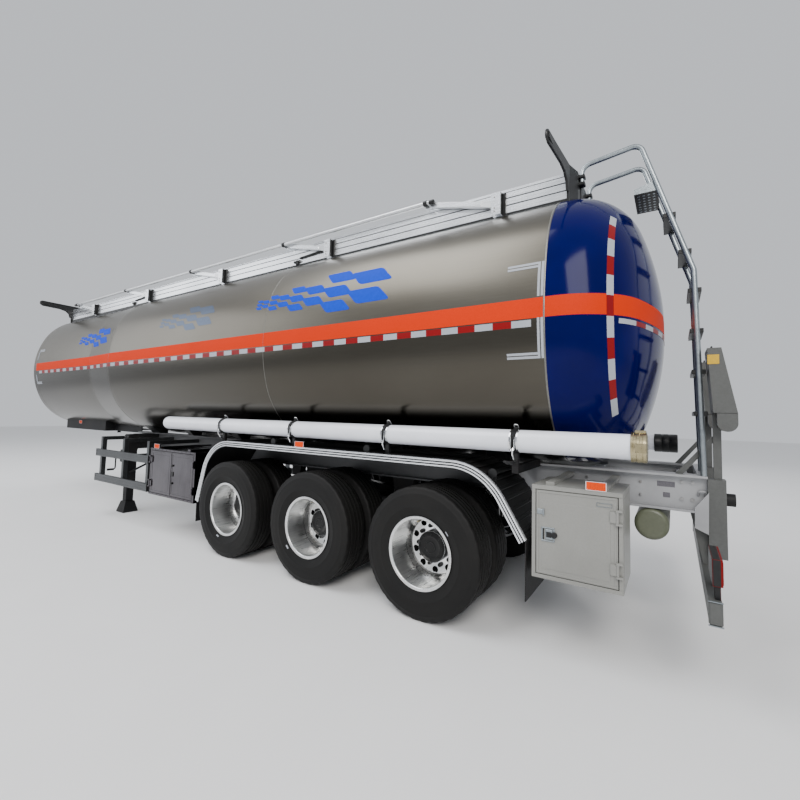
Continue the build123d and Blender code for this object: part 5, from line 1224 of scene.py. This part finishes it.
# %% Side guard ridges and end caps
GUARD_RUNS = {1: (0.745, 2.385), -1: (-0.315, 2.385)}
PLANK_LOW, RIDGE_HEIGHTS = (0.520, 0.910), ((0.004, 0.030), (0.042, 0.068), (0.080, 0.106))
ridges, caps = [], []
for s in SIDES:
    x0, x1 = GUARD_RUNS[s]
    for low in PLANK_LOW:
        ridges += [box_shape((x0 + 0.004, s * (GUARD_FACE - 0.001), low + a),
                             (x1 - 0.004, s * (GUARD_FACE + 0.0045), low + b), 0.002)
                   for a, b in RIDGE_HEIGHTS]
        caps += [box_shape((x - 0.004, s * (GUARD_FACE - 0.034), low - 0.002),
                           (x + 0.004, s * (GUARD_FACE + 0.006), low + 0.112), 0.002) for x in (x0, x1)]
# The ridges share the side guards' darkened finish, which is painted shade.
solid_piece("side_guard_ridges", ridges, guard_metal_painted_shade, slot="plate_aluminium")
solid_piece("side_guard_caps", caps, dark_paint, slot="dark_steel")

# %% [markdown]
# ## Rims, tyre marks and running gear
# The bowl of a polished rim shows every facet, so it gets a turned skin with rounded lips.
# The hand holes are dark cups set in the disc, outside the ring of wheel nuts: painted shade where the real
# holes look into the dark inside of the wheel.
# Underneath, bolts, clamps and brackets are what the eye expects, so the bigger ones are here.

# %% Rim bowls, hand holes and valve stems
BOWL_ROWS = [(0.2970, 1.2235), (0.2990, 1.2280), (0.2985, 1.2310), (0.2940, 1.2325), (0.2800, 1.2322),
             (0.2742, 1.2290), (0.2722, 1.2200), (0.2688, 1.0360), (0.2655, 1.0100), (0.2585, 0.9840),
             (0.2510, 0.9650), (0.2410, 0.9515), (0.2300, 0.9475), (0.1950, 0.9472), (0.1950, 0.9455),
             (0.2350, 0.9455), (0.2610, 0.9800), (0.2700, 1.0300), (0.2738, 1.2200), (0.2800, 1.2290)]
HOLE_CIRCLE, HOLE_RADIUS, STEM_TURN = 0.212, 0.027, 0.15
CUP_ROWS = [(POLE, 0.9484), (HOLE_RADIUS - 0.003, 0.9484), (HOLE_RADIUS, 0.9496),
            (HOLE_RADIUS + 0.002, 0.9470)]
for wheel, x, side in WHEELS:
    body = f"wheel_{wheel}"
    bowl = turned([(r, side * y) for r, y in BOWL_ROWS], (x, 0, AXLE_Z), "y", 96, closed=True)
    solid_piece(f"rim_bowl_{wheel}", [bowl], rim_metal, body, 50, slot="wheel_aluminium")
    # The cups are near-black: painted shade in the hand holes.
    cup = [(r, side * y) for r, y in CUP_ROWS]
    cups = [turned(cup, place, "y", 20) for place in round_axle(x, 0, HOLE_CIRCLE, 10, 0.5)]
    solid_piece(f"hand_holes_{wheel}", cups, painted_shade_black, body, slot="dark_steel")
    foot, tip = (round_axle(x, side * y, r, 1, STEM_TURN)[0] for y, r in ((0.955, 0.243), (1.03, 0.240)))
    stem = tube([foot, tip], 0.006, 10, (1, 0, 0))
    solid_piece(f"valve_stem_{wheel}", [stem], brass_plate, body, slot="galvanised")

# %% White dashes on the tyres
DASHES = dict(zip(AXLE_X, ((-0.91, 0.325), (2.32, 0.335), (2.80, 0.335))))


def sidewall_patch(x, side, at, middle, spread=0.060, half_width=0.006):
    """A small patch of the outer sidewall, between two angles and two radii, a film's thickness out."""
    section = tyre_section()
    radius = np.linspace(middle - half_width, middle + half_width, 3)[:, None]
    turn = np.linspace(at - spread, at + spread, 6)[None]
    offset = np.interp(radius, section[:13, 0], section[:13, 1]) + FILM + 0 * turn
    y = side * (TYRE_MIDDLES[0] + offset)
    points = np.stack([x + radius * np.sin(turn), y, AXLE_Z + radius * np.cos(turn)], -1)
    return points.reshape(-1, 3), grid_faces(3, 6)[:, ::side]


for wheel, x, side in WHEELS:
    points, faces = sidewall_patch(x, side, *DASHES[x])
    add_mesh(f"tyre_mark_{wheel}", points, faces, film_white, f"wheel_{wheel}")

# %% Spring clamps and their plates
U_BOLT = ((0.395, 0.462), (0.395, 0.728), (0.505, 0.728), (0.505, 0.462))
clamps, plates = [], []
for x in AXLE_X:
    for s in SIDES:
        for dx in (-0.075, 0.075):
            loop = [(x + dx, s * y, z) for y, z in U_BOLT]
            clamps.append(tube(bent(loop, 0.03), 0.011, 10, (1, 0, 0)))
        clamps.append(box_shape((x - 0.11, s * 0.385, 0.452), (x + 0.11, s * 0.515, 0.470), 0.004))
        plates.append(box_shape((x - 0.13, s * 0.400, 0.716), (x + 0.13, s * 0.500, 0.727), 0.003))
solid_piece("spring_clamps", clamps, steel, slot="dark_steel")
solid_piece("spring_plates", plates, dark_paint, slot="dark_steel")

# %% Rail plates, bolts and the end brackets
WEB_FACE = 0.456
BRACKET_OUTLINE = [(-5.741, 1.156), (-5.654, 1.038), (-5.652, 0.894), (-5.735, 0.858)]
SHACKLE = ((-5.680, 0.462, 1.120), (-5.680, 0.490, 1.155), (-5.725, 0.490, 1.155), (-5.725, 0.462, 1.120))
RAIL_TAGS = ((-5.532, -5.414, 1.163, 1.204, 0.0022, 0.001), (-5.499, -5.453, 1.084, 1.121, 0.0035, 0.002))
tags, bolts, brackets = [], [], []
for s in SIDES:
    face = s * WEB_FACE
    tags += [box_shape((x0, s * (WEB_FACE - 0.002), z0), (x1, s * (WEB_FACE + proud), z1), chamfer)
             for x0, x1, z0, z1, proud, chamfer in RAIL_TAGS]
    bolts += [stud(0.012, 0.008, (x, face, z), side=s, sides=6, crown=0.001)
              for x in (-5.30, -5.10, -4.90, -4.70) for z in (1.085, 1.185)]
    bolts += [stud(0.014, 0.010, (x, face, z), side=s, sides=6, crown=0.001)
              for x in (-5.643, -5.576) for z in (1.209, 1.083)]
    brackets += [extruded(BRACKET_OUTLINE, s * 0.508, s * 0.518, "y"),
                 tube(bent([(x, s * y, z) for x, y, z in SHACKLE], 0.015), 0.007, 10, (0, 1, 0))]
solid_piece("rail_tags", tags, tag_grey, slot="grey_paint")
solid_piece("rail_bolts", bolts, steel, slot="galvanised")
solid_piece("end_brackets", brackets, frame_silver, slot="frame_silver")

# %% Sign boxes: blank labels, hooks and seams
labels, hooks = [], []
for s in SIDES:
    labels.append(box_shape((-5.815, s * 0.579, 2.082), (-5.745, s * 0.5825, 2.150), 0.001))
    hook = [(-5.78, s * y, z) for y, z in ((0.40, 2.199), (0.40, 2.226), (0.46, 2.226), (0.46, 2.199))]
    hooks += [tube(bent(hook, 0.018), 0.006, 10, (1, 0, 0)),
              box_shape((-5.914, s * 0.30, 1.728), (-5.772, s * 0.5805, 1.733), 0.001),
              box_shape((-5.800, s * 0.425, 2.197), (-5.760, s * 0.435, 2.212), 0.002)]
solid_piece("sign_labels", labels, label_yellow, slot="plate_aluminium")
solid_piece("sign_hooks", hooks, dark_paint, slot="dark_steel")

# %% Landing legs: gearbox, crank, braces and bolts
LEG_X = 2.115
CRANK = [(LEG_X, 0.955, 0.900), (LEG_X, 1.040, 0.900), (LEG_X, 1.040, 0.700), (LEG_X, 1.130, 0.700)]
GRIP_ROWS = [(POLE, 0), (0.017, 0), (0.018, 0.09), (POLE, 0.092)]
gear, braces, heads = [], [], []
for s in SIDES:
    gear += [box_shape((LEG_X - 0.085, s * 0.895, 0.800), (LEG_X + 0.085, s * 0.950, 1.000), 0.010),
             stud(0.034, 0.018, (LEG_X, s * 0.950, 0.900), side=s, sides=24),
             box_shape((LEG_X - 0.072, s * 0.896, 1.030), (LEG_X + 0.072, s * 0.903, 1.240), 0.003)]
    heads += [stud(0.011, 0.009, (LEG_X + dx, s * 0.903, z), side=s, sides=6, crown=0.001)
              for dx in (-0.05, 0.05) for z in (1.06, 1.135, 1.21)]
    braces += [tube([(2.035, s * 0.860, 0.640), (1.380, s * 0.520, 1.020)], 0.017, 12),
               tube([(2.195, s * 0.860, 0.640), (2.560, s * 0.520, 1.020)], 0.017, 12),
               box_shape((LEG_X - 0.074, s * 0.757, 0.426), (LEG_X + 0.074, s * 0.903, 0.444), 0.003)]
gear += [tube(bent(CRANK, 0.03), 0.010, 12, (1, 0, 0)), turned(GRIP_ROWS, (LEG_X, 1.060, 0.700), "y", 16)]
solid_piece("leg_gearboxes", gear, dark_paint, slot="dark_steel")
solid_piece("leg_braces", braces, chassis_black, slot="dark_steel")
solid_piece("leg_bolts", heads, steel, slot="galvanised")

# %% Bracket and couplings at the front
COUPLING_FACE, COUPLING_Z = 5.444, 1.360
COUPLINGS = ((-0.26, 0.032), (-0.13, 0.032), (0.0, 0.040), (0.13, 0.036), (0.26, 0.032))
front = box_shape((5.436, -0.34, 1.300), (COUPLING_FACE, 0.34, 1.420), 0.003)
couplings = [turned([(r, 0.0), (r, 0.045), (r * 0.7, 0.050), (r * 0.7, 0.066), (POLE, 0.068)],
                    (COUPLING_FACE, y, COUPLING_Z), "x", 24) for y, r in COUPLINGS]
solid_piece("front_coupling_plate", [front], mid_grey, slot="dark_steel")
solid_piece("front_couplings", couplings, brass_plate, slot="galvanised")

# %% [markdown]
# ## Studio and camera
# A pale floor, a pale world and four soft lights show the shapes without drawing
# attention. The camera stands low beside the rear left corner, as a buyer would.

# %% Floor and light
FLOOR_REACH, FLOOR_Z = 40.0, -0.001
floor_points = [(x * FLOOR_REACH, y * FLOOR_REACH, FLOOR_Z) for x, y in ((-1, -1), (1, -1), (1, 1), (-1, 1))]
floor_mesh = bpy.data.meshes.new("studio_floor")
floor_mesh.from_pydata(floor_points, [], [(0, 1, 2, 3)])
floor = bpy.data.objects.new("studio_floor", floor_mesh)
bpy.context.scene.collection.objects.link(floor)
floor_paint = finish("floor_paint", (0.80, 0.80, 0.80), rough=0.85, grain=2.0, tone=0.01, bump=0.0,
                     specular=0.2)
floor.data.materials.append(floor_paint)

world = bpy.context.scene.world or bpy.data.worlds.new("studio_world")
bpy.context.scene.world = world
world.use_nodes = True
background = world.node_tree.nodes["Background"]
background.inputs["Color"].default_value = (0.92, 0.95, 1.0, 1)
background.inputs["Strength"].default_value = 0.75


def stood(right, up, back, place):
    """The matrix of a thing at a place, from the three directions it is turned to."""
    return Matrix([[*row, p] for row, p in zip(np.stack([right, up, back], 1), place)] + [[0, 0, 0, 1]])


def area_light(name, place, target, size, power, color=(1, 1, 1)):
    """A soft square light that looks at a target."""
    data = bpy.data.lights.new(name, "AREA")
    data.energy, data.size, data.color = power, size, color
    lamp = bpy.data.objects.new(name, data)
    bpy.context.scene.collection.objects.link(lamp)
    back = np.asarray(place, float) - np.asarray(target, float)
    back /= np.linalg.norm(back)
    right = np.cross((0, 0, 1), back)
    right /= np.linalg.norm(right)
    lamp.matrix_world = stood(right, np.cross(back, right), back, place)


area_light("key_light", (-9.0, 10.0, 9.0), (0, 0, 2.0), 6.0, 1350, (1.0, 0.97, 0.93))
area_light("front_light", (14.0, 9.0, 7.0), (3.0, 0, 2.5), 8.0, 450, (0.95, 0.97, 1.0))
area_light("sky_light", (3.0, 6.0, 13.0), (1.0, 0, 2.0), 9.0, 1300, (0.95, 0.97, 1.0))
area_light("far_light", (2.0, -12.0, 8.0), (0, 0, 2.0), 8.0, 900)
print("lights", len(bpy.data.lights))

# %% Camera
CAMERA_PLACE = np.array([-5.533, 4.174, 1.676])
HEADING, PITCH, ROLL = np.radians([-58.44, 3.645, 1.227])
FOCAL_PIXELS, CENTRE_X, CENTRE_Y, FRAME_PIXELS = 411.709, 421.14, 388.24, 800
SENSOR = 36.0
ahead = np.array([np.cos(HEADING) * np.cos(PITCH), np.sin(HEADING) * np.cos(PITCH), np.sin(PITCH)])
right = np.cross(ahead, (0, 0, 1))
right /= np.linalg.norm(right)
up = np.cross(right, ahead)
right, up = np.cos(ROLL) * right + np.sin(ROLL) * up, -np.sin(ROLL) * right + np.cos(ROLL) * up
camera_data = bpy.data.cameras.new("side_camera")
camera_data.sensor_width = SENSOR
camera_data.lens = FOCAL_PIXELS / FRAME_PIXELS * SENSOR
camera_data.shift_x = (FRAME_PIXELS / 2 - CENTRE_X) / FRAME_PIXELS
camera_data.shift_y = (CENTRE_Y - FRAME_PIXELS / 2) / FRAME_PIXELS
camera_data.clip_end = 200
camera = bpy.data.objects.new("side_camera", camera_data)
bpy.context.scene.collection.objects.link(camera)
camera.matrix_world = stood(right, up, -ahead, CAMERA_PLACE)
bpy.context.scene.camera = camera
print("camera", CAMERA_PLACE, "lens", round(camera_data.lens, 2))
